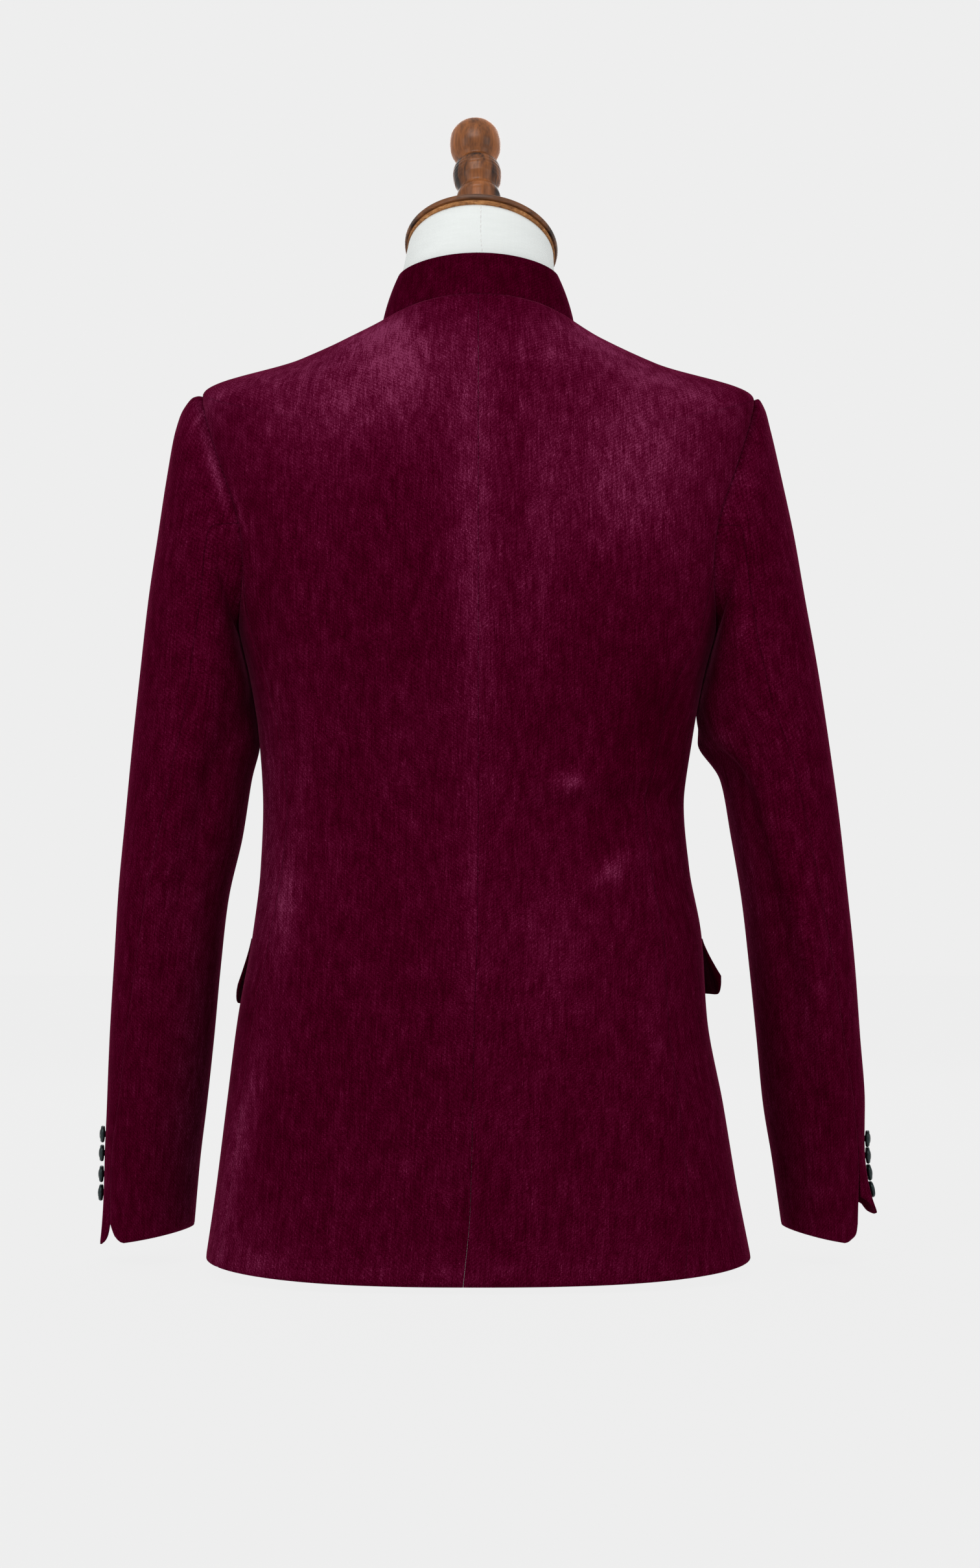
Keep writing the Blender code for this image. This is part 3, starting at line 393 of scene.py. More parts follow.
def thread_material(name, colour):
    """Twisted sewing thread."""
    made = Nodes(name)
    places = made.object_places()
    twist = made.wave(places, 700.0, 1.0, direction="DIAGONAL")
    tone = made.total((twist, 0.6), (made.noise(places, 300.0), 0.4))
    darker = tuple(value * 0.6 for value in colour)
    made.set(Base_Color=made.colours(tone, (0.1, darker), (0.8, colour)), Roughness=0.7)
    made.bump(twist, 0.0001)
    return made.material


FORM_SIDES = 180
FRONT_BLEND = 0.3         # how soon the wider clearance of the front sets in
RINGS_BETWEEN = 6
BASE_INNER_SHARE = 0.96   # of the base's size, for the ring inside its rounded edge
NECK_SEAM_RINGS = 24      # the seam runs over the upper rings of the neck
NECK_SEAM_LEAN = 4        # columns by which its lower end lies to the right
NECK_STITCH = (0.0042, 0.0034, 0.0008) # pitch, length and thickness


def make_form(material, tree, seam_thread):
    clearance = smooth(*zip(*FORM_CLEARANCE))
    angles = np.linspace(-90.0, 270.0, FORM_SIDES, endpoint=False)
    forward = smoothstep(-np.sin(np.radians(angles)) / FRONT_BLEND)
    rings = []
    for level in FORM_LEVELS:
        inside = FORM_WALL + float(clearance(level)) + FORM_FRONT_CLEARANCE * forward
        base = body_base(angles, float(level))
        rings.append(base - body_normal(angles, float(level)) * inside[:, None])
    along_x, across = np.cos(np.radians(angles)), np.sin(np.radians(angles))
    for ring in NECK_RINGS:
        depth = np.where(across >= 0, ring.back, ring.front)
        far_z = np.where(across >= 0, ring.back_z, ring.front_z)
        z = ring.side_z + (far_z - ring.side_z) * across ** 2
        rings.append(np.stack((along_x * ring.half, across * depth, z), axis=-1))
    under = -CAP_THICKNESS / 2.0 - NECK_TOP_GAP
    rings.append(np.array([cap_matrix() @ Vector((x * NECK_TOP_HALF, y * NECK_TOP_HALF, under))
                           for x, y in zip(along_x, across)]))
    rings = finer(rings, RINGS_BETWEEN)
    floor = rings[0].copy()
    floor[:, 2] = 0.0
    middle = floor.mean(axis=0)
    inner = middle + (floor - middle) * BASE_INNER_SHARE
    rings = np.concatenate((inner[None], floor[None], rings[:1] * 0.5 + floor[None] * 0.5, rings))
    lofted("linen_form", rings, material, "form_body")
    column = np.abs(angles - 90.0).argmin()
    slant = np.linspace(1.0, 0.0, NECK_SEAM_RINGS)[:, None]
    upper = rings[-NECK_SEAM_RINGS:]
    line = upper[:, column] * (1.0 - slant) + upper[:, column + NECK_SEAM_LEAN] * slant
    seam = stitch_row("linen_seam", tree, line, *NECK_STITCH, seam_thread)


stitches = stitch_tree()
make_form(linen_material(), stitches, thread_material("linen_thread", (0.86, 0.86, 0.84)))


# Neck cap: a varnished walnut lid over a thinner disc of raw board, tilted
# toward the front and held by the finial's screw.
CAP_RADIUS = 0.0629
CAP_LID = 0.0064
CAP_BOARD_LAP = 0.0026    # how far the board reaches down over the linen
CAP_SIDES = 144
AXIS = 0.00001            # radius of a profile's ends, almost on its axis


def rounded(profile):
    """Profile with a few more points along each stretch and softened corners."""
    points = np.array(profile, float)
    for _ in range(2):
        near, far = points[:-1], points[1:]
        cut = np.stack((near * 0.75 + far * 0.25, near * 0.25 + far * 0.75), axis=1)
        points = np.concatenate((points[:1], cut.reshape(-1, 2), points[-1:]))
    return points


def turned_rings(profile, matrix, sides):
    """Rings round an axis from a profile of (radius, height)."""
    turn = np.radians(np.linspace(0.0, 360.0, sides, endpoint=False))
    frame_of = np.array(matrix)
    rings = []
    for radius, height in profile:
        ring = np.stack((np.cos(turn) * radius, np.sin(turn) * radius, np.full(sides, height)), axis=-1)
        rings.append(ring @ frame_of[:3, :3].T + frame_of[:3, 3])
    return rings


def wood_material(name, dark, light, stretch, gloss, coat, direction=0):
    """Stained wood with its grain along one direction."""
    made = Nodes(name)
    places = made.object_places()
    scale = [150.0, 150.0, 150.0]
    scale[direction] = stretch
    fibre = made.grain(places, tuple(scale), 5.0, 0.62)
    broad = made.grain(places, tuple(value * 0.3 for value in scale), 3.0)
    pores = made.grain(places, tuple(value * 4.0 for value in scale), 2.0)
    tone = made.spread(made.total((fibre, 0.30), (broad, 0.75), (pores, 0.10)), 0.46, 0.74)
    made.set(Base_Color=made.colours(tone, (0.0, dark), (1.0, light)),
             Roughness=made.spread(pores, 0.3, 0.7, gloss + 0.1, gloss),
             Coat_Weight=coat, Coat_Roughness=0.20, Specular_IOR_Level=0.3)
    made.bump(made.total((fibre, 0.4), (pores, 0.6)), 0.00012)
    return made.material


def chipboard_material():
    """Raw board edge: pressed chips in a warm brown."""
    made = Nodes("raw_board")
    places = made.object_places()
    chips = made.grain(places, (260.0, 260.0, 700.0), 3.0, 0.6)
    broad = made.noise(places, 60.0, 2.0)
    tone = made.spread(made.total((chips, 0.7), (broad, 0.4)), 0.35, 0.75)
    made.set(Base_Color=made.colours(tone, (0.0, (0.10, 0.035, 0.012)), (0.6, (0.33, 0.14, 0.045)),
                                     (1.0, (0.52, 0.27, 0.11))),
             Roughness=0.86, Specular_IOR_Level=0.25)
    made.bump(chips, 0.0004)
    return made.material


def make_cap(rim, board):
    """Varnished lid over a thinner raw board."""
    half, edge = CAP_THICKNESS / 2.0, CAP_RADIUS
    split, low = half - CAP_LID, -half - CAP_BOARD_LAP
    lid = ((AXIS, half), (edge - 0.012, half), (edge - 0.0035, half - 0.0006),
           (edge - 0.0006, half - 0.0020), (edge, half - 0.0032), (edge - 0.0007, split + 0.0005),
           (edge - 0.0016, split), (AXIS, split))
    under = ((AXIS, split - 0.00015), (edge - 0.0030, split - 0.00015), (edge - 0.0022, split - 0.0006),
             (edge - 0.0024, low + 0.0004), (edge - 0.0030, low), (AXIS, low))
    for name, profile, material in (("walnut_lid", lid, rim), ("board_under_lid", under, board)):
        rings = turned_rings(rounded(profile), cap_matrix(), CAP_SIDES)
        lofted(name, rings, material, "form_cap")


make_cap(wood_material("lid_walnut", (0.018, 0.006, 0.002), (0.26, 0.090, 0.026), 14.0, 0.34, 0.10),
         chipboard_material())


# Finial: walnut turned on a lathe, with a ball, a grooved bead, a waist and a
# flared foot that stands on the cap. Its axis leans, the foot lies flat.
FINIAL_FOOT = (-0.0028, -0.0164, 0.8321)
FINIAL_AXIS = (0.0488, -0.4221, 0.9052)
FINIAL_LEVEL_HEIGHT = 0.048     # from here up the finial is square to its own axis
# Distance along the finial's axis from the cap's middle, and radius there.
FINIAL_PROFILE = (
    (0.1324, 0.0024), (0.1316, 0.0062), (0.1291, 0.0125), (0.1246, 0.0178), (0.1181, 0.0207),
    (0.1112, 0.0213), (0.1046, 0.0207), (0.0986, 0.0182), (0.0951, 0.0152), (0.0926, 0.0140),
    (0.0901, 0.0152), (0.0881, 0.0174), (0.0841, 0.0194), (0.0781, 0.0202), (0.0711, 0.0193),
    (0.0661, 0.0168), (0.0626, 0.0155), (0.0601, 0.0162), (0.0576, 0.0178), (0.0541, 0.0183),
    (0.0506, 0.0172), (0.0426, 0.0150), (0.0286, 0.0140), (0.0186, 0.0156), (0.0121, 0.0190),
    (0.0098, 0.0240), (0.0078, 0.0262), (0.0043, 0.0265),
)
FINIAL_GROOVES = (0.0716, 0.0746, 0.0781, 0.0816, 0.0846)
FINIAL_GROOVE = 0.0004
FINIAL_GROOVE_WIDTH = 0.0005
FINIAL_SIDES = 112
FINIAL_RINGS_BETWEEN = 7


def make_finial(material):
    axis, foot = unit(np.array(FINIAL_AXIS)), np.array(FINIAL_FOOT)
    cap_up = np.array(cap_matrix().to_3x3() @ Vector((0.0, 0.0, 1.0)))
    across = unit(np.cross(axis, (0.0, 1.0, 0.0)))
    forward = np.cross(axis, across)
    turn = np.radians(np.linspace(0.0, 360.0, FINIAL_SIDES, endpoint=False))[:, None]
    profile = finer(np.array(FINIAL_PROFILE)[:, None, :], FINIAL_RINGS_BETWEEN)[:, 0]
    rings = []
    for height, radius in profile:
        groove = sum(math.exp(-((height - place) / FINIAL_GROOVE_WIDTH) ** 2) for place in FINIAL_GROOVES)
        spoke = (radius - FINIAL_GROOVE * groove) * (np.cos(turn) * across + np.sin(turn) * forward)
        level = 1.0 - smoothstep(height / FINIAL_LEVEL_HEIGHT)
        rise = height - level * (spoke @ cap_up) / (axis @ cap_up)
        rings.append(foot + axis * np.asarray(rise)[:, None] + spoke)
    lofted("walnut_finial", rings, material, "form_finial")


make_finial(wood_material("finial_walnut", (0.014, 0.004, 0.001), (0.42, 0.135, 0.032), 14.0, 0.30, 0.12, 2))


# Backs: two panels of wine velvet from hem to neckline, joined by the centre back
# seam and cut out at the armholes. The armhole is the first section of the sleeve,
# so the sleeve's rings are given here too.
CLOTH = 0.0016            # shown thickness of the velvet
TOP_ROW_GAP = 0.03        # levels between the armhole's last row and the shoulder
SEAM_GAP = 0.00012
ARMHOLE_GAP = 0.00006
SEAM_DEPTH = 0.0008       # how far the cloth dips at a sewn seam
SEAM_WIDTH = 0.0017
CENTRE_SEAM_DIP = 0.45    # share of a seam's dip, as the pile hides this seam
NECK_SEAM_DIP = 0.4
EDGE_ROUND = 0.00025
# Seams of the body as angles in degrees. The skirt has turned a little on the
# form, so the centre and side seams are not symmetric below the waist.
SeamRow = namedtuple("SeamRow", "level centre left_back right_back left_front right_front")
SEAM_ROWS = [SeamRow(*row) for row in (
    (0, 85.4, 19.0, 144.0, -40.0, 206.0),
    (1, 87.5, 20.0, 147.5, -40.0, 206.0),
    (3, 88.6, 20.0, 149.0, -39.0, 206.0),
    (4, 89.5, 20.5, 151.0, -38.0, 207.0),
    (6, 90.0, 21.0, 153.0, -36.0, 208.0),
    (8, 90.0, 20.0, 156.0, -31.0, 205.0),
    (9, 90.0, 19.0, 159.0, -26.0, 201.0),
)]
CENTRE_SEAM = smooth([row.level for row in SEAM_ROWS], [row.centre for row in SEAM_ROWS])


def grouped(kind, **tables):
    """Rows with named columns, in a table for each face or side."""
    return {key: [kind(*row) for row in rows] for key, rows in tables.items()}


# Folds as long soft ridges (height above zero) or troughs (below), placed by the
# distance to the wearer's left and the height, on the back or on the front.
Fold = namedtuple("Fold", "x z length width tilt height")
BODY_FOLDS = grouped(Fold, back=(
    (-0.086, 0.394, 0.050, 0.010, -8.0, 0.0030),
    (-0.122, 0.377, 0.050, 0.010, -10.0, -0.0045),
    (-0.100, 0.325, 0.055, 0.013, -32.0, 0.0035),
    (-0.128, 0.350, 0.038, 0.011, -28.0, -0.0030),
    (-0.150, 0.452, 0.040, 0.010, -48.0, -0.0030),
    (0.117, 0.708, 0.034, 0.009, -62.0, 0.0022),
    (0.160, 0.700, 0.036, 0.010, -22.0, 0.0018),
    (0.150, 0.545, 0.075, 0.010, 84.0, 0.0028),
    (0.090, 0.130, 0.110, 0.022, 84.0, -0.0030),
    (-0.085, 0.110, 0.110, 0.024, 96.0, -0.0028),
), front=(
    (0.090, 0.365, 0.055, 0.012, 14.0, -0.0032),
    (-0.095, 0.345, 0.055, 0.013, -20.0, 0.0030),
    (0.110, 0.120, 0.100, 0.024, 92.0, -0.0026),
))
FACING = 0.04             # depth over which a fold fades at the turn of the side


def relief(points, folds, facing=FACING, start=0.0):
    """Height of a table's folds at points of the body."""
    x, y, z = points[..., 0], points[..., 1], points[..., 2]
    total = np.zeros(x.shape)
    for face, rows in folds.items():
        seen = smoothstep((y if face == "back" else -y) / facing + start)
        for fold in rows:
            turn = math.radians(fold.tilt)
            along = (x - fold.x) * math.cos(turn) + (z - fold.z) * math.sin(turn)
            across = (z - fold.z) * math.cos(turn) - (x - fold.x) * math.sin(turn)
            shape = np.exp(-(along / fold.length) ** 2 - (across / fold.width) ** 2)
            total += fold.height * seen * shape
    return total


def body_shell(angle, level, out=0.0):
    """Point of the coat's outer side, moved out along the surface's normal."""
    base = body_base(angle, level)
    offset = relief(base, BODY_FOLDS) + out
    return base + body_normal(angle, level) * offset[..., None]


# A sleeve's rings from the armhole to the cuff: height of the outer and the inner
# side, how far out each lies on the left and the right sleeve, and the places of
# the back and the front.
SleeveRing = namedtuple(
    "SleeveRing", "outer_z outer_left outer_right inner_z inner_left inner_right back front")
SLEEVE_RINGS = [SleeveRing(*row) for row in (
    (0.7068, 0.2227, 0.2227, 0.5150, 0.1930, 0.1915, 0.0810, -0.0760),
    (0.7060, 0.2300, 0.2262, 0.5100, 0.1927, 0.1912, 0.0815, -0.0770),
    (0.6975, 0.2388, 0.2318, 0.5030, 0.1911, 0.1894, 0.0815, -0.0780),
    (0.6800, 0.2453, 0.2368, 0.4950, 0.1892, 0.1873, 0.0810, -0.0785),
    (0.6400, 0.2528, 0.2461, 0.4830, 0.1862, 0.1843, 0.0795, -0.0790),
    (0.5940, 0.2600, 0.2562, 0.4680, 0.1828, 0.1808, 0.0770, -0.0790),
    (0.5470, 0.2673, 0.2647, 0.4510, 0.1807, 0.1776, 0.0735, -0.0785),
    (0.4806, 0.2753, 0.2770, 0.4280, 0.1782, 0.1785, 0.0680, -0.0780),
    (0.4205, 0.2820, 0.2862, 0.3980, 0.1850, 0.1975, 0.0620, -0.0755),
    (0.3650, 0.2876, 0.2940, 0.3520, 0.1925, 0.2065, 0.0575, -0.0740),
    (0.3100, 0.2932, 0.3005, 0.3000, 0.2045, 0.2155, 0.0520, -0.0740),
    (0.2500, 0.2978, 0.3076, 0.2440, 0.2115, 0.2225, 0.0430, -0.0765),
    (0.1900, 0.3026, 0.3133, 0.1880, 0.2175, 0.2290, 0.0310, -0.0810),
    (0.1300, 0.3066, 0.3190, 0.1320, 0.2245, 0.2355, 0.0160, -0.0870),
    (0.0800, 0.3096, 0.3195, 0.0850, 0.2310, 0.2440, 0.0040, -0.0920),
    (0.0150, 0.3106, 0.3180, 0.0290, 0.2370, 0.2530, -0.0080, -0.0990),
)]
SLEEVE = column_curves(SLEEVE_RINGS)
ARMHOLE_SKEW = 0.25       # how much fuller the armhole is below its middle
SKEW_END_RING = 8
SKEW_EVEN = 0.12          # keeps the skewed armhole's depth
DROP_END_RING = 2.5
ARMHOLE_HALVINGS = 50


def sleeve_section(angle, ring, side):
    """Point of a plain sleeve section, before it is joined to the armhole."""
    angle, ring = np.broadcast_arrays(np.radians(angle), np.asarray(ring, float))
    along = (1.0 + np.cos(angle)) / 2.0
    inner, outer = SLEEVE["inner_" + side](ring), SLEEVE["outer_" + side](ring)
    inner_z, outer_z = SLEEVE["inner_z"](ring), SLEEVE["outer_z"](ring)
    if side == "right":
        outer_z = outer_z - float(DROP(SHOULDER_LEVEL)) * np.clip(1.0 - ring / DROP_END_RING, 0.0, 1.0)
    back, front = SLEEVE["back"](ring), SLEEVE["front"](ring)
    skew = ARMHOLE_SKEW * np.clip(1.0 - ring / SKEW_END_RING, 0.0, 1.0)
    swell = np.sin(angle) * (1.0 - skew * np.cos(angle)) / (1.0 + SKEW_EVEN * skew)
    x = SIDES[side] * (inner + (outer - inner) * along)
    y = (back + front) / 2.0 + (back - front) / 2.0 * swell
    return np.stack((x, y, inner_z + (outer_z - inner_z) * along), axis=-1)


def armhole(angle, side):
    """Body angle and level of the armhole at a sleeve angle."""
    seam = sleeve_section(angle, 0.0, side)
    y, z = seam[..., 1], seam[..., 2]
    low = np.full(z.shape, UNDERARM_LEVEL - 1.0)
    high = np.full(z.shape, SHOULDER_LEVEL + 0.5)
    for _ in range(ARMHOLE_HALVINGS):
        level = (low + high) / 2.0
        depth = np.where(y >= 0, BODY["back"](level), BODY["front"](level))
        lower = DROP(level) if side == "right" else 0.0
        above = ring_height(level, y, depth) - lower > z
        high = np.where(above, level, high)
        low = np.where(above, low, level)
    power = BODY["power"](level)
    x = SIDES[side] * BODY[side](level) * (1.0 - np.abs(y / depth) ** power) ** (1.0 / power)
    turned = np.degrees(np.arctan2(y, x))
    if side == "right":
        turned = np.where(turned < 0, turned + 360.0, turned)
    return turned, level


def body_seam(name, side, join):
    """Seam angle by level, ending where the seam meets the armhole."""
    rows = [(row.level, getattr(row, name)) for row in SEAM_ROWS]
    angle, level = armhole(np.array([float(join)]), side)
    rows.append((float(level[0]), float(angle[0])))
    return smooth(*zip(*rows)), float(level[0])


def angle_of_gap(angle, level, gap):
    """Angle that spans a small distance along the body's ring."""
    step = np.linalg.norm(body_base(angle + 0.5, level) - body_base(angle - 0.5, level), axis=-1)
    return gap / step


# Places along and across the shells.
SKIRT_ROWS = 150
ARM_ROWS = 60
YOKE_ROWS = 46
CLOTH_PITCH = 0.0032
BACK_JOIN = 120           # armhole angle where the back meets the side piece
FRONT_JOIN = 240


def panel_grid(side, which):
    """Angles and levels of a fine panel, from hem to neckline."""
    join, top = (BACK_JOIN, 0.0) if which == "back" else (FRONT_JOIN, 360.0)
    seam, join_level = body_seam(side + "_" + which, side, join)
    skirt = np.linspace(0.0, 1.0, SKIRT_ROWS) * join_level
    arm_angle, arm_level = armhole(np.linspace(join, top, ARM_ROWS + 2), side)
    yoke = np.linspace(SHOULDER_LEVEL, NECK_LEVEL, YOKE_ROWS)
    between = (arm_level > join_level) & (arm_level < SHOULDER_LEVEL - TOP_ROW_GAP)
    levels = np.concatenate((skirt, arm_level[between], yoke))
    shoulder = 0.0 if side == "left" else 180.0
    edges = np.concatenate((seam(skirt), arm_angle[between], np.full(YOKE_ROWS, shoulder)))
    return levels, edges


def run_along(points, axis):
    """Distance along a grid of points from its first row or column."""
    steps = np.linalg.norm(np.diff(points, axis=axis), axis=-1)
    pad = [(0, 0), (0, 0)]
    pad[axis] = (1, 0)
    return np.cumsum(np.pad(steps, pad), axis=axis)


def seam_dip(distance):
    return -SEAM_DEPTH * np.exp(-(distance / SEAM_WIDTH) ** 2)


PUCKER_PITCH = 0.0145
PUCKER_HEIGHT = 0.00012
PUCKER_PLACE = 0.004      # where beside the seam the puckers are highest
PUCKER_WIDTH = 0.005
PUCKER_SECOND = (0.6, 1.7)             # height and pitch of a second wave, as shares


def seam_pucker(distance, length):
    """Small puckers across a seam that fade within a centimetre of it."""
    turn = length * 2.0 * math.pi / PUCKER_PITCH
    height, pitch = PUCKER_SECOND
    wave = np.sin(turn) + height * np.sin(turn / pitch)
    return PUCKER_HEIGHT * wave * np.exp(-((distance - PUCKER_PLACE) / PUCKER_WIDTH) ** 2)


# Smaller folds than the solids have, placed like the larger ones.
FINE_FOLDS = grouped(Fold, back=(
    (0.006, 0.330, 0.050, 0.006, 82.0, 0.0010),
    (-0.045, 0.345, 0.040, 0.007, -24.0, 0.0012),
    (-0.062, 0.372, 0.035, 0.006, -14.0, -0.0012),
    (0.070, 0.352, 0.040, 0.007, 20.0, 0.0011),
    (0.110, 0.388, 0.040, 0.007, 34.0, -0.0013),
    (0.130, 0.430, 0.040, 0.008, 56.0, 0.0012),
    (-0.168, 0.500, 0.050, 0.008, 96.0, 0.0016),
    (-0.178, 0.420, 0.050, 0.007, 100.0, -0.0014),
    (0.020, 0.200, 0.080, 0.012, 90.0, 0.0010),
    (-0.140, 0.180, 0.080, 0.012, 88.0, 0.0014),
    (0.150, 0.170, 0.080, 0.012, 92.0, 0.0014),
))


# Painted highlights and painted shade: patches that brighten (above zero) or darken
# (below zero) the velvet's colour, placed like folds, with the brightness as their height.
PAINTED_LIGHT_PATCHES = grouped(Fold, back=(
    (0.085, 0.695, 0.090, 0.046, -15.0, 0.42),
    (-0.125, 0.662, 0.078, 0.062, 25.0, 0.36),
    (0.062, 0.724, 0.034, 0.017, -12.0, 0.24),
    (-0.060, 0.727, 0.050, 0.015, 12.0, 0.18),
    (-0.190, 0.690, 0.025, 0.018, 25.0, 0.16),
    (0.004, 0.590, 0.017, 0.145, 0.0, 0.30),
    (0.004, 0.310, 0.006, 0.090, 0.0, 0.18),
    (-0.046, 0.585, 0.013, 0.090, 0.0, 0.20),
    (-0.105, 0.600, 0.050, 0.040, 0.0, 0.20),
    (-0.135, 0.445, 0.034, 0.055, 10.0, -0.13),
    (-0.162, 0.400, 0.016, 0.040, 0.0, -0.10),
    (-0.072, 0.391, 0.014, 0.0070, 0.0, 0.42),
    (-0.103, 0.322, 0.018, 0.0075, -37.0, 0.46),
    (-0.058, 0.268, 0.034, 0.050, 0.0, 0.16),
    (0.151, 0.292, 0.012, 0.044, 4.0, 0.38),
    (0.139, 0.400, 0.006, 0.060, 4.0, 0.20),
    (0.188, 0.110, 0.011, 0.100, 13.0, 0.36),
    (0.000, 0.018, 0.190, 0.009, 0.0, 0.10),
    (0.100, 0.170, 0.080, 0.100, 0.0, -0.05),
    (-0.215, 0.580, 0.020, 0.009, 20.0, -0.12),
    (0.207, 0.637, 0.0042, 0.040, -18.5, 0.36),
    (0.185, 0.600, 0.0020, 0.034, -16.7, 0.28),
    (-0.135, 0.215, 0.006, 0.070, 0.0, 0.12),
    (0.205, 0.700, 0.030, 0.008, -22.0, 0.24),
    (0.155, 0.716, 0.045, 0.022, -18.0, 0.20),
    (0.078, 0.748, 0.030, 0.014, -20.0, 0.50),
    (-0.085, 0.745, 0.034, 0.014, 20.0, 0.42),
    (-0.145, 0.708, 0.040, 0.014, 20.0, 0.28),
    (0.222, 0.680, 0.022, 0.018, -30.0, 0.18),
    (0.232, 0.150, 0.018, 0.130, 7.0, 0.26),
    (0.174, 0.345, 0.018, 0.095, 4.0, 0.36),
    (-0.197, 0.330, 0.018, 0.100, -10.0, 0.38),
    (0.178, 0.016, 0.030, 0.026, 0.0, 0.26),
    (-0.285, 0.110, 0.030, 0.080, 0.0, -0.06),
    (0.285, 0.090, 0.020, 0.050, 0.0, -0.09),
    (-0.118, 0.420, 0.030, 0.060, 0.0, -0.09),
    (-0.010, 0.510, 0.030, 0.080, 0.0, 0.08),
), front=(
    (0.230, 0.100, 0.014, 0.100, 7.0, 0.42),
    (0.212, 0.300, 0.012, 0.100, 7.0, 0.25),
    (-0.205, 0.330, 0.014, 0.100, -10.0, 0.42),
    (-0.235, 0.140, 0.014, 0.090, -7.0, 0.15),
))
PAINTED_LIGHT_FACING = 0.05         # depth over which a patch fades at the turn of the side
PAINTED_LIGHT_START = 0.5


def nap_of(points):
    return relief(points, PAINTED_LIGHT_PATCHES, PAINTED_LIGHT_FACING, PAINTED_LIGHT_START)


EDGE_PLACES = np.array((0.0, 0.0006, 0.0013, 0.0022, 0.0033, 0.0048, 0.0068))
EDGE_STRIP = 0.0095


def edge_steps(width):
    """Places across a panel as shares: close together at both edges."""
    count = int((width - 2.0 * EDGE_STRIP) / CLOTH_PITCH) + 1
    middle = np.linspace(EDGE_STRIP, width - EDGE_STRIP, count)
    return np.concatenate((EDGE_PLACES, middle, width - EDGE_PLACES[::-1])) / width


def grid_normals(points):
    return unit(np.cross(np.gradient(points, axis=1), np.gradient(points, axis=0)))


def shell_normals(points):
    """Normals of a grid that point away from the body's middle."""
    normal = grid_normals(points)
    middle = points.shape[0] // 2, points.shape[1] // 2
    outward = points[middle] * (1.0, 1.0, 0.0)
    return normal if np.dot(normal[middle], outward) > 0 else -normal


LINING_NAP = 0.3          # how much less the inner side shines
PIECE_SHIFT = 0.731       # sets each piece's threads apart from the next one's


def shell_object(name, outer, inner, material, nap, flat):
    """Closed thin shell between two grids, with cloth coordinates in metres."""
    rows, columns = outer.shape[:2]
    verts = np.concatenate((outer.reshape(-1, 3), inner.reshape(-1, 3)))
    index = np.arange(rows * columns).reshape(rows, columns)
    quads = np.stack((index[:-1, :-1], index[:-1, 1:], index[1:, 1:], index[1:, :-1]), axis=-1)
    quads = quads.reshape(-1, 4)
    ring = np.concatenate((index[0], index[1:, -1], index[-1, -2::-1], index[-2:0:-1, 0]))
    after = np.roll(ring, -1)
    back = rows * columns
    rim = np.stack((after, ring, ring + back, after + back), axis=-1)
    faces = np.concatenate((quads, quads[:, ::-1] + back, rim))
    mesh = bpy.data.meshes.new(name)
    mesh.from_pydata(verts.tolist(), [], faces.tolist())
    flat = flat.reshape(-1, 2) + PIECE_SHIFT * len(bpy.data.meshes)
    flat = np.concatenate((flat, flat))
    corner = np.zeros(len(mesh.loops), np.int32)
    mesh.loops.foreach_get("vertex_index", corner)
    mesh.uv_layers.new(name="cloth").data.foreach_set("uv", flat[corner].astype(np.float32).ravel())
    # Painted highlight and shade of each point, lower on the inner side.
    values = np.concatenate((nap.ravel(), nap.ravel() - LINING_NAP)).astype(np.float32)
    mesh.attributes.new("nap", "FLOAT", "POINT").data.foreach_set("value", values)
    return finished(name, mesh, material)


def rim_mask(shape):
    mask = np.zeros(shape)
    mask[0] = mask[-1] = 1.0
    mask[:, 0] = mask[:, -1] = 1.0
    return mask


def spread_flat(points, grain):
    """Cloth coordinates of a panel whose threads run along one of its columns."""
    across = run_along(points, 1)
    return np.stack((across - across[:, grain][:, None], run_along(points, 0)), axis=-1)


def cloth_shell(name, surface, offset, material, nap, thickness=CLOTH, grain=None, flat=None):
    """Shell with its outer side at the offset, rounded at its border."""
    border = rim_mask(offset.shape) * EDGE_ROUND
    outer = surface(offset - border)
    inner = surface(offset - thickness + border)
    if flat is None:
        flat = spread_flat(outer, outer.shape[1] // 2 if grain is None else grain)
    return shell_object(name, outer, inner, material, nap, flat)


def relief_shell(name, grid, normal, offset, material, **more):
    """Shell of the cloth over a grid of points, moved out along their normals."""
    return cloth_shell(name, lambda out: grid + normal * out[..., None], offset, material, **more)


def settle(obj, node, *rests_on):
    """Puts a cloth piece in place of its node and reads its cloth coordinates."""
    stand_in(obj, node)
    mesh = obj.data
    spread = np.zeros(len(mesh.loops) * 2, np.float32)
    mesh.uv_layers["cloth"].data.foreach_get("uv", spread)


def body_panel(name, angles, levels, dips, material, grain=None, sink=0.0):
    """Shell of a body piece.

    The dips are shares of a seam's dip at its first edge, its last edge and its top,
    and an edge with none isn't sewn.
    """
    plain = body_shell(angles, levels)
    across, up = run_along(plain, 1), run_along(plain, 0)
    offset = seam_dip(up[-1:] - up) * dips[2]
    for distance, dip in zip((across, across[:, -1:] - across), dips):
        if dip:
            offset = offset + seam_dip(distance) * dip + seam_pucker(distance, up)
    offset = offset + relief(plain, FINE_FOLDS) - sink
    return relief_shell(name, plain, shell_normals(plain), offset, material, nap=nap_of(plain), grain=grain)


# Colour of the velvet by its tone, from the dark ground up to the painted highlights.
VELVET_TONES = (
    (0.00, (0.0260, 0.0000, 0.0038)),
    (0.22, (0.0430, 0.0000, 0.0072)),
    (0.36, (0.0540, 0.0003, 0.0100)),
    (0.50, (0.0680, 0.0016, 0.0146)),
    (0.65, (0.0880, 0.0038, 0.0230)),
    (0.80, (0.1180, 0.0085, 0.0365)),
    (1.00, (0.2000, 0.0290, 0.0820)),
)
VELVET_BASE = 0.31        # tone of the cloth where no painted highlight or shade lies
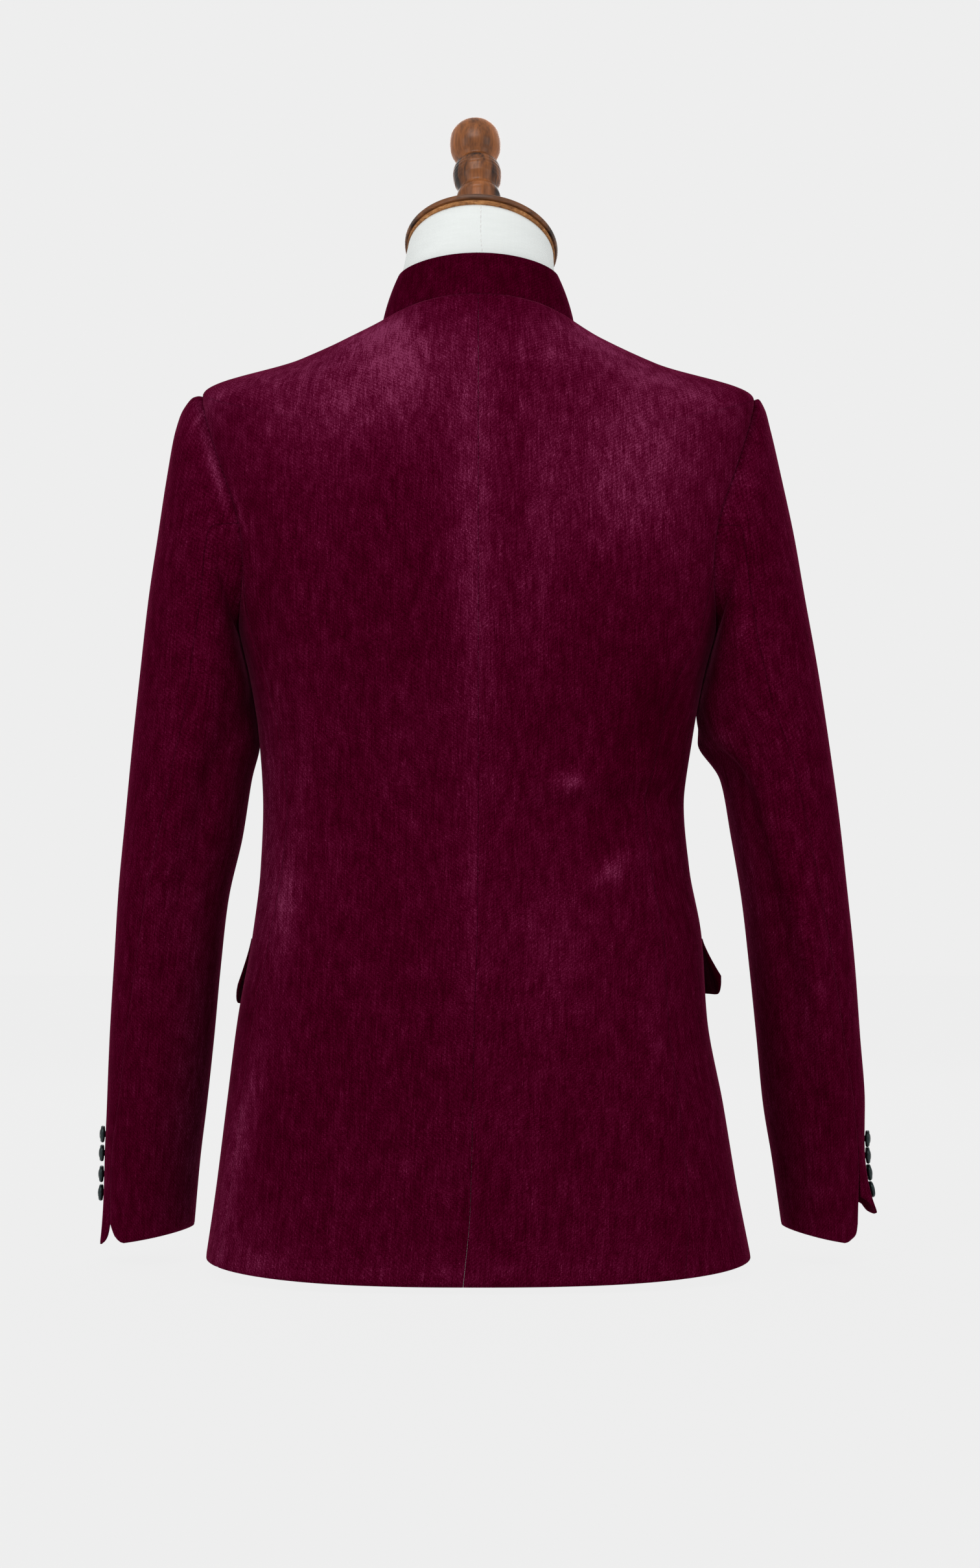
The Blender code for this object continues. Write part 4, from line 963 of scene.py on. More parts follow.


def velvet_material(name, lift=0.0):
    """Short pile: fine bright specks and strokes over a faint twill, on a dark ground."""
    made = Nodes(name)
    places = made.cloth_places()
    broad = made.grain(places, (26.0, 9.0, 1.0), 3.0, 0.6)
    mottle = made.grain(places, (130.0, 60.0, 1.0), 3.0, 0.6)
    streak = made.grain(places, (700.0, 38.0, 1.0), 2.0, 0.6)
    hair = made.grain(places, (1200.0, 330.0, 1.0), 2.0, 0.6)
    speckle = made.noise(places, 1300.0, 1.0, 0.5)
    twill = made.wave(made.scaled(places, (1.0, 1.0, 1.0), 52.0), 130.0, 0.8)
    # Painted highlights and shade from the patch table, added to the tone.
    nap = made.node("ShaderNodeAttribute", attribute_name="nap").outputs["Fac"]
    parts = ((broad, 0.35), (mottle, 0.75), (streak, 0.72), (hair, 1.00), (speckle, 1.12), (twill, 0.12))
    ground = VELVET_BASE + lift - sum(weight for _, weight in parts) / 2.0
    tone = made.math("ADD", made.total(*parts, (nap, 1.0)), ground)
    made.set(Base_Color=made.colours(tone, *VELVET_TONES), Roughness=0.90, Specular_IOR_Level=0.0,
             Sheen_Weight=0.22, Sheen_Roughness=0.20, Sheen_Tint=(0.80, 0.10, 0.26, 1.0))
    made.bump(made.total((twill, 0.4), (speckle, 0.8), (hair, 0.8)), 0.00020)
    made.bump(streak, 0.0004, 0.4)
    return made.material


BACK_WIDTH = 0.215


def make_back(side, material):
    levels, edges = panel_grid(side, "back")
    half = SIDES[side] * SEAM_GAP / 2.0
    edges = edges + angle_of_gap(edges, levels, half)
    centre = CENTRE_SEAM(np.minimum(levels, UNDERARM_LEVEL))
    centre = centre - angle_of_gap(centre, levels, half)
    angles = centre[:, None] + (edges - centre)[:, None] * edge_steps(BACK_WIDTH)
    piece = body_panel("velvet_back_" + side, angles, levels[:, None],
                       (CENTRE_SEAM_DIP, 1.0, NECK_SEAM_DIP), material, grain=0)
    settle(piece, "back_" + side, "form_body")


velvet = velvet_material("wine_velvet")
for name in SIDES:
    make_back(name, velvet)


# Side pieces: narrow velvet panels under the arms, sewn between the back and the
# front, from the hem to the lower part of the armhole.
SIDE_WIDTH = 0.13


def make_side(side, material):
    back_seam, back_join = body_seam(side + "_back", side, BACK_JOIN)
    front_seam, front_join = body_seam(side + "_front", side, FRONT_JOIN)
    columns = BACK_JOIN + (FRONT_JOIN - BACK_JOIN) * edge_steps(SIDE_WIDTH)
    top_angle, top_level = armhole(columns, side)
    share = (top_angle - top_angle[0]) / (top_angle[-1] - top_angle[0])
    steps = np.linspace(0.0, 1.0, SKIRT_ROWS)
    back_angle, front_angle = back_seam(steps * back_join), front_seam(steps * front_join)
    half = SIDES[side] * SEAM_GAP / 2.0
    back_angle = back_angle - angle_of_gap(back_angle, steps * back_join, half)
    front_angle = front_angle + angle_of_gap(front_angle, steps * front_join, half)
    angles = back_angle[:, None] + (front_angle - back_angle)[:, None] * share
    piece = body_panel("velvet_side_" + side, angles, steps[:, None] * top_level, (1.0, 1.0, 1.0), material)
    settle(piece, "side_" + side, "form_body")


for name in SIDES:
    make_side(name, velvet)


# Fronts: two velvet panels, sewn to the side pieces and at the shoulders. The left
# laps over the right, so the right dips under it, and the left has worked
# buttonholes.
FRONT_LAP = 0.018         # how far each front passes the centre
LAP_SLOPE = 0.016         # width over which the right front dips under the left
LAP_FLAT = 0.0015         # beside the left front's edge it lies at its full depth
LAP_DEPTH = 0.0026
FRONT_CENTRE = 270.0


def lap_sink(angles, levels):
    """How far the right front lies below the left, beside and under the lap."""
    x = body_base(angles, levels)[..., 0]
    return LAP_DEPTH * smoothstep((x + FRONT_LAP + LAP_SLOPE) / (LAP_SLOPE - LAP_FLAT))


def front_edge(levels, side):
    """Angle of a front's edge, FRONT_LAP past the centre."""
    depth = BODY["front"](levels)
    past = np.degrees(np.arctan2(FRONT_LAP, depth))
    return -90.0 - past if side == "left" else FRONT_CENTRE + past


FRONT_WIDTH = 0.235


def make_front(side, material):
    levels, edges = panel_grid(side, "front")
    if side == "right":
        edges = np.where(edges < 90.0, edges + 360.0, edges)
    edges = edges - angle_of_gap(edges, levels, SIDES[side] * SEAM_GAP / 2.0)
    free = front_edge(levels, side)
    angles = edges[:, None] + (free - edges)[:, None] * edge_steps(FRONT_WIDTH)
    levels = levels[:, None]
    sink = lap_sink(angles, levels) if side == "right" else 0.0
    piece = body_panel("velvet_front_" + side, angles, levels, (1.0, None, NECK_SEAM_DIP), material,
                       grain=-1, sink=sink)
    settle(piece, "front_" + side, "form_body")


FRONT_BUTTON_HEIGHTS = (0.205, 0.305, 0.405, 0.505, 0.605)
BUTTONHOLE = (-0.004, 0.0165, 40)      # both ends past the centre, points along it
BUTTONHOLE_RISE = 0.0001
HOLE_STITCH = (0.0007, 0.0008, 0.0009) # pitch, length and thickness


def level_at(height):
    """Level of the body's ring at a height below the chest."""
    heights = [ring.side_z for ring in BODY_RINGS]
    return smooth(heights, range(len(heights)))(height)


def make_buttonholes(tree, thread):
    """Worked buttonholes on the left front, one behind each button."""
    for number, height in enumerate(FRONT_BUTTON_HEIGHTS, 1):
        level = float(level_at(height))
        past = np.linspace(*BUTTONHOLE)
        angles = FRONT_CENTRE - 360.0 - np.degrees(past / float(BODY["front"](level)))
        line = body_shell(angles, level, BUTTONHOLE_RISE)
        made = stitch_row("buttonhole_%d" % number, tree, line, *HOLE_STITCH, thread)


for name in SIDES:
    make_front(name, velvet)
make_buttonholes(stitches, thread_material("wine_thread", (0.06, 0.006, 0.018)))


# Collar: one stand collar of stiffened velvet, sewn to the neckline, with rounded
# corners that meet edge to edge in front.
COLLAR_CLOTH = 0.0022
COLLAR_TOP_HALF = 0.0650
COLLAR_TOP_BACK = (0.0580, 0.8120)     # distance behind the middle, height
COLLAR_TOP_SIDE_Z = 0.8060
COLLAR_TOP_FRONT = (0.0800, 0.7500)    # distance in front of the middle, height
COLLAR_END_GAP = 0.0040
COLLAR_SEAM_GAP = -0.0005
COLLAR_CORNER = 0.012
COLLAR_BULGE = 0.0016      # how far the collar is rounded outward at half height
COLLAR_NAP = -0.12
COLLAR_COLUMNS = 241
COLLAR_END_STEPS = np.array((0.4, 0.8, 1.2, 2.2))
COLLAR_STEPS = np.concatenate(((0.0, 0.012, 0.03, 0.05, 0.08), np.linspace(0.12, 0.94, 16),
                               (0.965, 0.985, 1.0)))
COLLAR_PUCKER = 0.6       # share of a seam's puckers, as the collar is stiff


def collar_line(angle, height):
    """Point of the collar's outer side, height from 0 at the seam to 1 at the top."""
    angle, height = np.broadcast_arrays(np.asarray(angle, float), np.asarray(height, float))
    seam = body_shell(angle % 360.0, NECK_LEVEL)
    along, across = np.cos(np.radians(angle)), np.sin(np.radians(angle))
    back, back_z = COLLAR_TOP_BACK
    front, front_z = COLLAR_TOP_FRONT
    depth = np.where(across >= 0, back, front)
    radius = ((along / COLLAR_TOP_HALF) ** 2 + (across / depth) ** 2) ** -0.5
    y = radius * across
    far_z = np.where(across >= 0, back_z, front_z)
    top_z = COLLAR_TOP_SIDE_Z + (far_z - COLLAR_TOP_SIDE_Z) * (y / depth) ** 2
    top = np.stack((radius * along, y, top_z), axis=-1)
    rise = unit(top - seam)
    start = seam + rise * COLLAR_SEAM_GAP
    outward = np.stack((along, across, np.zeros(along.shape)), axis=-1)
    bulge = COLLAR_BULGE * 4.0 * height * (1.0 - height)
    return start + (top - start) * height[..., None] + outward * bulge[..., None]


def make_collar(material):
    end = math.degrees(math.atan2(COLLAR_END_GAP / 2.0, COLLAR_TOP_FRONT[0]))
    angles = np.linspace(-90.0 + end, 270.0 - end, COLLAR_COLUMNS)
    corner = math.degrees(COLLAR_CORNER / COLLAR_TOP_FRONT[0])
    angles = np.sort(np.concatenate((angles, angles[0] + COLLAR_END_STEPS, angles[-1] - COLLAR_END_STEPS)))
    from_end = np.minimum(angles - angles[0], angles[-1] - angles) / corner
    drop = 1.0 - np.sqrt(1.0 - np.clip(1.0 - from_end, 0.0, 1.0) ** 2)
    height = float(np.linalg.norm(collar_line(270.0, 1.0) - collar_line(270.0, 0.0)))
    top = 1.0 - drop * COLLAR_CORNER / height
    heights = COLLAR_STEPS[:, None] * top
    outer = collar_line(angles, heights)
    around = collar_line(angles + 0.2, heights) - collar_line(angles - 0.2, heights)
    upward = collar_line(angles, heights + 0.02) - collar_line(angles, heights - 0.02)
    normal = unit(np.cross(around, upward))
    up = run_along(outer, 0)
    offset = seam_dip(up) * NECK_SEAM_DIP + seam_pucker(up, run_along(outer, 1)) * COLLAR_PUCKER
    piece = relief_shell("velvet_collar", outer, normal, offset, material, nap=nap_of(outer) + COLLAR_NAP,
                         thickness=COLLAR_CLOTH)
    settle(piece, "collar", "back_left", "back_right")


make_collar(velvet_material("collar_velvet", -0.05))


# Sleeves: an upper and an under piece of velvet each, set into the armhole and
# sewn at the forearm and at the hindarm, where the seam ends in an open vent.
CUFF_RING = 15
ARMHOLE_FADE = 1.5        # rings over which the sleeve leaves the armhole's shape
HINDARM_COLUMN = 100
FOREARM_COLUMN = 240
# The seams' angles by ring.
HINDARM = smooth(*zip((0, 100), (4, 96), (7, 86), (10, 70), (12, 55), (13.5, 42), (15, 36)))
FOREARM = smooth(*zip((0, 240), (7, 246), (15, 250)))
# The vent at the cuff: where it starts, how far its edges part at the cuff and how
# far the button side stands away. The hems tell how far a cuff's edge is cut back,
# in rings, by its degrees from the vent.
VENT_RING = 13.3
VENT_OPEN = {"left": 0.0008, "right": 0.0014}
VENT_FLARE = {"left": 0.0056, "right": 0.0350}
VENT_OPEN_POWER = 1.5
VENT_FLARE_POWER = 3.0
VENT_FLARE_ANGLE = 45.0
VENT_HOLD = 15.0          # degrees beside the vent in which the flare sets in
UPPER_HEM = {
    "left": ((0, 0.27), (4, 0.10), (8, 0.03), (14, 0), (38, 0), (46, 0.08), (56, 0.22), (76, 0.20), (146, 0)),
    "right": ((0, 0.60), (5, 0.56), (10, 0.48), (15, 0.42), (30, 0.38), (40, 0.39), (52, 0.47),
              (66, 0.46), (146, 0)),
}
UNDER_HEM = {
    "left": ((0, 0.27), (7, 0.16), (12, 0.09), (17, 0.05), (26, 0), (214, 0)),
    "right": ((0, 0.26), (2, 0.15), (7, 0.09), (12, 0.06), (17, 0.03), (27, 0), (214, 0)),
}
# A sleeve's folds: the ring and angle of each one's middle, its length in rings,
# its width in degrees, the degrees it turns by in a ring, and its height.
SleeveFold = namedtuple("SleeveFold", "ring angle rings degrees twist height")
SLEEVE_FOLDS = grouped(SleeveFold, left=(
    (8.5, 118.0, 3.4, 12.0, -6.0, -0.0035),
    (9.5, 82.0, 3.6, 12.0, -7.0, 0.0030),
    (6.5, 148.0, 1.8, 13.0, -16.0, -0.0035),
    (10.5, 290.0, 3.0, 15.0, 8.0, -0.0030),
), right=(
    (10.0, 100.0, 3.6, 12.0, -13.0, 0.0045),
    (9.6, 128.0, 3.0, 12.0, -10.0, -0.0040),
    (7.8, 150.0, 1.4, 14.0, -30.0, -0.0035),
    (13.0, 62.0, 1.6, 11.0, -6.0, -0.0025),
    (10.5, 285.0, 3.0, 15.0, 8.0, -0.0030),
))
FINE_SLEEVE_FOLDS = grouped(SleeveFold, left=(
    (7.5, 60.0, 2.4, 7.0, -5.0, 0.0012),
    (10.5, 60.0, 2.4, 7.0, -5.0, -0.0012),
    (12.4, 96.0, 1.6, 8.0, -8.0, 0.0013),
    (4.5, 96.0, 2.0, 8.0, -9.0, 0.0012),
), right=(
    (5.0, 110.0, 2.2, 8.0, -10.0, 0.0013),
    (8.0, 70.0, 2.4, 7.0, -7.0, 0.0012),
    (12.0, 84.0, 1.8, 8.0, -8.0, 0.0014),
    (11.4, 120.0, 1.6, 8.0, -12.0, -0.0014),
))
# The ring where the folds set in, and over how many rings.
FOLD_START = (1.0, 3.0)
FINE_FOLD_START = (0.8, 2.0)


def sleeve_relief(folds, angle, ring, side, start, fade):
    """Height of a sleeve's folds, which set in over some rings below the armhole."""
    total = np.zeros(np.broadcast(angle, ring).shape)
    for fold in folds[side]:
        from_middle = ring - fold.ring
        turned = angle % 360.0 - fold.angle - fold.twist * from_middle
        total += fold.height * np.exp(-(from_middle / fold.rings) ** 2 - (turned / fold.degrees) ** 2)
    return total * smoothstep((ring - start) / fade)


def sleeve_base(angle, ring, side):
    angle, ring = np.broadcast_arrays(np.asarray(angle, float), np.asarray(ring, float))
    points = sleeve_section(angle, ring, side)
    body_angle, level = armhole(angle, side)
    start = body_shell(body_angle, level) + np.array((SIDES[side] * ARMHOLE_GAP, 0.0, 0.0))
    fade = np.clip(1.0 - ring / ARMHOLE_FADE, 0.0, 1.0) ** 2
    return points + (start - sleeve_section(angle, 0.0, side)) * fade[..., None]


def sleeve_normal(angle, ring, side):
    ahead = np.minimum(ring + 0.02, CUFF_RING)
    behind = np.maximum(ring - 0.02, 0.0)
    down = sleeve_base(angle, ahead, side) - sleeve_base(angle, behind, side)
    around = sleeve_base(angle + 0.5, ring, side) - sleeve_base(angle - 0.5, ring, side)
    return unit(SIDES[side] * np.cross(down, around))


def below_vent(ring):
    """Share of the vent that lies above a ring."""
    return np.clip((ring - VENT_RING) / (CUFF_RING - VENT_RING), 0.0, 1.0)


def sleeve_shell(angle, ring, side, out=0.0):
    """Point of a sleeve's outer side, with its folds and the vent's flare."""
    angle, ring = np.broadcast_arrays(np.asarray(angle, float), np.asarray(ring, float))
    turn = (angle + 180.0) % 360.0 - 180.0
    from_vent = HINDARM(ring) - turn
    flare = VENT_FLARE[side] * below_vent(ring) ** VENT_FLARE_POWER * smoothstep(from_vent / VENT_HOLD)
    flare = flare * np.exp(-(from_vent / VENT_FLARE_ANGLE) ** 2)
    offset = sleeve_relief(SLEEVE_FOLDS, angle, ring, side, *FOLD_START) + flare + out
    return sleeve_base(angle, ring, side) + sleeve_normal(angle, ring, side) * offset[..., None]


def sleeve_angles(columns, rings):
    """Sleeve angles of the columns on each ring, so that columns follow the seams."""
    knots = np.array((0.0, HINDARM_COLUMN, 180.0, FOREARM_COLUMN, 360.0, 360.0 + HINDARM_COLUMN))
    table = []
    for ring in rings:
        hind, fore = float(HINDARM(ring)), float(FOREARM(ring))
        table.append(np.interp(columns, knots, (0.0, hind, 180.0, fore, 360.0, 360.0 + hind)))
    return np.array(table)


END_COLUMNS = np.array((0.0, 0.8, 1.7, 2.8, 4.2))      # degrees from a sleeve piece's edge
END_REACH = 5.0


def close_to_ends(columns):
    """Adds columns next to both ends, for the rounded seams."""
    first, last = columns[0], columns[-1]
    inside = columns[(columns > first + END_REACH) & (columns < last - END_REACH)]
    return np.concatenate((first + END_COLUMNS, inside, last - END_COLUMNS[::-1]))


# Rows from one ring to another, closest at the armhole and the vent.
SLEEVE_ROWS = ((0.0, 2.0, 34), (2.0, VENT_RING, 150), (VENT_RING, CUFF_RING, 40))
SLEEVE_COLUMNS = 34       # each on the front and the back of the upper sleeve
UNDER_COLUMNS = 48
SEWN_END = (0.15, 0.30)   # rings below the vent's top where the seam's dip ends, and its fade
HEAD_SEAM = 0.25          # share of the seams' dip beside the armhole
HEAD_SEAM_RINGS = (0.5, 4.0)           # where it starts to deepen, and over how many rings
EDGE_SHIFT = 3.0          # the parted edges move a third of the piece's columns with them
# The sleeve head rolls over the armhole seam: how high, most at the shoulder, and
# how soon it rises and how far down it fades.
HEAD_ROLL = 0.0005
HEAD_ROLL_TOP = 0.0018
HEAD_ROLL_RISE = 0.0007
HEAD_ROLL_FADE = 0.0130
ARMHOLE_TURN = 0.004      # over which the cloth turns from the body's slope to its own
SLEEVE_HANG_RING = 5      # from here up the threads run straight up to the armhole
SLEEVE_HANG_SHIFT = 0.020
SLEEVE_HANG_RISE = 0.150
SLEEVE_AROUND = 0.062     # cloth across for each radian round the sleeve


def hang_across(points, side, under):
    """Cloth coordinate round a sleeve whose threads hang straight down."""
    rings = np.arange(len(SLEEVE_RINGS) - 1, SLEEVE_HANG_RING - 1, -1)

    def middle(first, second):
        return (SLEEVE[first](rings) + SLEEVE[second](rings)) / 2.0

    heights, z = middle("outer_z", "inner_z"), points[..., 2]
    shift = SLEEVE_HANG_SHIFT * smoothstep((z - heights[-1]) / SLEEVE_HANG_RISE)
    sideways = np.interp(z, heights, middle("outer_" + side, "inner_" + side))
    out = SIDES[side] * points[..., 0] - sideways + shift
    behind = points[..., 1] - np.interp(z, heights, middle("back", "front"))
    turn = np.arctan2(behind, out)
    return (turn % (2.0 * math.pi) if under else turn) * SLEEVE_AROUND


def sleeve_piece(node, side, columns, vent_at_end, hem, material):
    """Fine shell of the upper or the under sleeve, parted at both seams."""
    steps = np.unique(np.concatenate([np.linspace(*rows) for rows in SLEEVE_ROWS]))
    angles = sleeve_angles(columns, steps)
    vent, plain_edge, inward = (-1, 0, -1.0) if vent_at_end else (0, -1, 1.0)
    raised = smooth(*zip(*hem[side]))(np.abs(angles[-1] - angles[-1, vent]))
    rings = steps[:, None] - raised * below_vent(steps)[:, None]
    ahead, behind = sleeve_base(angles + 0.5, rings, side), sleeve_base(angles - 0.5, rings, side)
    degree = np.linalg.norm(ahead - behind, axis=-1)
    opening = VENT_OPEN[side] / 2.0 * below_vent(steps) ** VENT_OPEN_POWER
    angles[:, plain_edge] -= inward * SEAM_GAP / 2.0 / degree[:, plain_edge]
    total = np.abs(angles[:, -1] - angles[:, 0])
    share = np.abs(angles - angles[:, vent][:, None]) / total[:, None]
    shift = inward * (SEAM_GAP / 2.0 + opening) / degree[:, vent]
    angles = angles + shift[:, None] * np.clip(1.0 - share * EDGE_SHIFT, 0.0, 1.0)
    base = sleeve_shell(angles, rings, side)
    across, up = run_along(base, 1), run_along(base, 0)
    from_seam, from_plain = across, across[:, -1:] - across
    if vent_at_end:
        from_seam, from_plain = from_plain, from_seam
    sewn = smoothstep((VENT_RING + SEWN_END[0] - rings) / SEWN_END[1])
    depth = HEAD_SEAM + (1.0 - HEAD_SEAM) * smoothstep((rings - HEAD_SEAM_RINGS[0]) / HEAD_SEAM_RINGS[1])
    offset = (seam_dip(from_seam) * sewn + seam_dip(from_plain)) * depth + seam_dip(up)
    swell = (1.0 - np.exp(-up / HEAD_ROLL_RISE)) * np.exp(-(up / HEAD_ROLL_FADE) ** 2)
    offset = offset + HEAD_ROLL * swell
    offset = offset + sleeve_relief(FINE_SLEEVE_FOLDS, angles, rings, side, *FINE_FOLD_START)
    base[..., 2] += HEAD_ROLL_TOP * swell * smoothstep(np.cos(np.radians(angles)) * 2.0 - 1.0)
    edge = body_normal(*armhole(angles[0], side))
    near = np.exp(-(up / ARMHOLE_TURN) ** 2)[..., None]
    normal = unit(-SIDES[side] * grid_normals(base) * (1.0 - near) + edge * near)
    flat = np.stack((hang_across(base, side, not vent_at_end), -base[..., 2]), axis=-1)
    piece = relief_shell("velvet_" + node, base, normal, offset, material, nap=nap_of(base), flat=flat)
    settle(piece, node, "back_" + side)


def make_sleeve(side, material):
    front = np.linspace(FOREARM_COLUMN, 360.0, SLEEVE_COLUMNS)[:-1]
    back = np.linspace(360.0, 360.0 + HINDARM_COLUMN, SLEEVE_COLUMNS)
    upper = close_to_ends(np.concatenate((front, back)))
    under = close_to_ends(np.linspace(HINDARM_COLUMN, FOREARM_COLUMN, UNDER_COLUMNS))
    sleeve_piece("upper_sleeve_" + side, side, upper, True, UPPER_HEM, material)
    sleeve_piece("under_sleeve_" + side, side, under, False, UNDER_HEM, material)


for name in SIDES:
    make_sleeve(name, velvet)


# Pocket flaps: stiffened velvet flaps below the waist, sewn on at their upper
# edge, with rounded lower corners that stand off a little.
FLAP_CLOTH = 0.0022
FLAP_TOP_Z = 0.268
FLAP_DROP = {"left": 0.0545, "right": 0.0470}
FLAP_CORNER = 0.016
FLAP_GAP = 0.0007
FLAP_RADIUS = 0.17        # of the body at the flaps, which turns their angles to lengths
FLAP_ANGLES = {"left": (-4.0, -50.0), "right": (184.0, 230.0)}   # rear end, front end
FLAP_FLARE = {"left": (0.0045, 0.002), "right": (0.0135, 0.004)}
FLAP_FLARE_POWER = 1.3
# Columns and rows as shares of the flap, closer at its edges.
FLAP_COLUMNS = np.concatenate(((0.0, 0.006, 0.014), np.linspace(0.03, 0.97, 60), (0.986, 0.994, 1.0)))
FLAP_ROWS = np.concatenate(((0.0, 0.015, 0.035), np.linspace(0.07, 0.93, 22), (0.965, 0.985, 1.0)))


def make_flap(side, material):
    rear, front = FLAP_ANGLES[side]
    share, down = FLAP_COLUMNS, FLAP_ROWS[:, None]
    angles = rear + (front - rear) * share
    length = abs(math.radians(front - rear)) * FLAP_RADIUS
    from_end = np.minimum(share, 1.0 - share) * length / FLAP_CORNER
    drop = 1.0 - np.sqrt(1.0 - np.clip(1.0 - from_end, 0.0, 1.0) ** 2)
    fall = FLAP_DROP[side] - drop * FLAP_CORNER
    levels = level_at(FLAP_TOP_Z - down * fall)
    rear_flare, front_flare = FLAP_FLARE[side]
    flare = (rear_flare + (front_flare - rear_flare) * share) * down ** FLAP_FLARE_POWER
    near = FLAP_GAP + flare + FLAP_CLOTH
    piece = cloth_shell("velvet_flap_" + side, lambda out: body_shell(angles, levels, near + out),
                        np.zeros(near.shape), material, nap_of(body_shell(angles, levels)), FLAP_CLOTH)
    settle(piece, "flap_" + side, "side_" + side)


for name in SIDES:
    make_flap(name, velvet)


# Buttons: cast metal buttons with a low dome and a grooved rim, blackened, sewn on
# by a short shank. Four close each cuff's vent and five the front.
BUTTON_THICKNESS = 0.0034
BUTTON_SHANK = 0.0011
SHANK_RADIUS = 0.0024
BUTTON_LIFT = 0.00045
BUTTON_SIDES = 56
# Share of the radius, and how far below the middle's top: the dome, the groove, the
# rim and its outer side.
BUTTON_FACE = (
    (0.28, 0.0001), (0.50, 0.0005), (0.60, 0.0010), (0.65, 0.0015), (0.70, 0.0013),
    (0.78, 0.0009), (0.90, 0.0012), (0.99, 0.0021), (1.00, 0.0028),
)


def metal_material():
    """Blackened metal, brighter on its high edges: partly rubbed wear, partly painted highlight."""
    made = Nodes("blackened_metal")
    places = made.object_places()
    cloud = made.noise(places, 420.0, 3.0)
    # Painted highlight and rubbed wear: the pointed high edges are drawn brighter.
    rubbed_and_highlit = made.spread(made.node("ShaderNodeNewGeometry").outputs["Pointiness"], 0.51, 0.58)
    colour = made.colours(made.total((cloud, 0.5), (rubbed_and_highlit, 0.7)), (0.2, (0.014, 0.024, 0.025)),
                          (0.7, (0.050, 0.066, 0.066)), (1.0, (0.24, 0.26, 0.25)))
    made.set(Base_Color=colour, Metallic=0.75, Roughness=made.spread(cloud, 0.3, 0.7, 0.24, 0.40))
    made.bump(cloud, 0.00008)
    return made.material


def make_button(node, point, normal, diameter, material):
    """Domed metal button with a grooved rim, sewn on close to the cloth."""
    radius, top = diameter / 2.0, BUTTON_SHANK + BUTTON_THICKNESS
    face = [(radius * share, top - fall) for share, fall in BUTTON_FACE]
    profile = ((AXIS, top), *face, (radius * 0.97, BUTTON_SHANK - 0.0003), (radius * 0.88, 0.0002),
               (SHANK_RADIUS, -0.0001), (SHANK_RADIUS, -0.0006), (AXIS, -0.0006))
    place = Vector(point) + Vector(normal) * BUTTON_LIFT
    turn = Vector(normal).to_track_quat("Z", "Y")
    rings = turned_rings(rounded(profile), Matrix.LocRotScale(place, turn, None), BUTTON_SIDES)
    lofted("metal_" + node, rings, material, node)


CUFF_BUTTON = 0.0140
CUFF_BUTTON_RINGS = {"left": (13.47, 13.80, 14.12, 14.37), "right": (13.55, 13.84, 14.10, 14.33)}
CUFF_BUTTON_INSET = 32.0               # degrees from the vent's edge


def make_cuff_buttons(side, material):
    for number, ring in enumerate(CUFF_BUTTON_RINGS[side], 1):
        angle = float(HINDARM(ring)) - CUFF_BUTTON_INSET
        point = sleeve_shell(np.array([angle]), np.array([ring]), side)[0]
        around = sleeve_shell(angle + 4.0, ring, side) - sleeve_shell(angle - 4.0, ring, side)
        down = sleeve_shell(angle, ring + 0.1, side) - sleeve_shell(angle, ring - 0.1, side)
        normal = unit(SIDES[side] * np.cross(down, around))
        make_button("cuff_button_%s_%d" % (side, number), point, normal, CUFF_BUTTON, material)


FRONT_BUTTON = 0.0200


def make_front_buttons(material):
    for number, height in enumerate(FRONT_BUTTON_HEIGHTS, 1):
        level = np.array([float(level_at(height))])
        angle = np.array([FRONT_CENTRE])
        make_button("front_button_%d" % number, body_shell(angle, level)[0],
                    body_normal(angle, level)[0], FRONT_BUTTON, material)


metal = metal_material()
for name in SIDES:
    make_cuff_buttons(name, metal)
make_front_buttons(metal)


# Setting: a camera behind the coat, soft lamps, an even pale backdrop, and a floor
# that is almost as bright as the backdrop.
CAMERA_PLACE = (0.0, 2.1, 0.294)
CAMERA_LENS = 59.27
CAMERA_SENSOR = 36.0
CAMERA_SHIFT = (18.0 / 2420.0, 190.0 / 2420.0)


def make_camera():
    data = bpy.data.cameras.new("camera")
    data.lens, data.sensor_width = CAMERA_LENS, CAMERA_SENSOR
    data.shift_x, data.shift_y = CAMERA_SHIFT
    camera = bpy.data.objects.new("camera", data)
    camera.location = CAMERA_PLACE
    camera.rotation_euler = (math.radians(90.0), 0.0, math.radians(180.0))
    bpy.context.scene.collection.objects.link(camera)
    bpy.context.scene.camera = camera


def make_light(name, place, target, width, height, power):
    data = bpy.data.lights.new(name, "AREA")
    data.shape = "RECTANGLE"
    data.size, data.size_y = width, height
    data.energy = power
    light = bpy.data.objects.new(name, data)
    light.location = place
    light.rotation_euler = (Vector(target) - Vector(place)).to_track_quat("-Z", "Y").to_euler()
    bpy.context.scene.collection.objects.link(light)


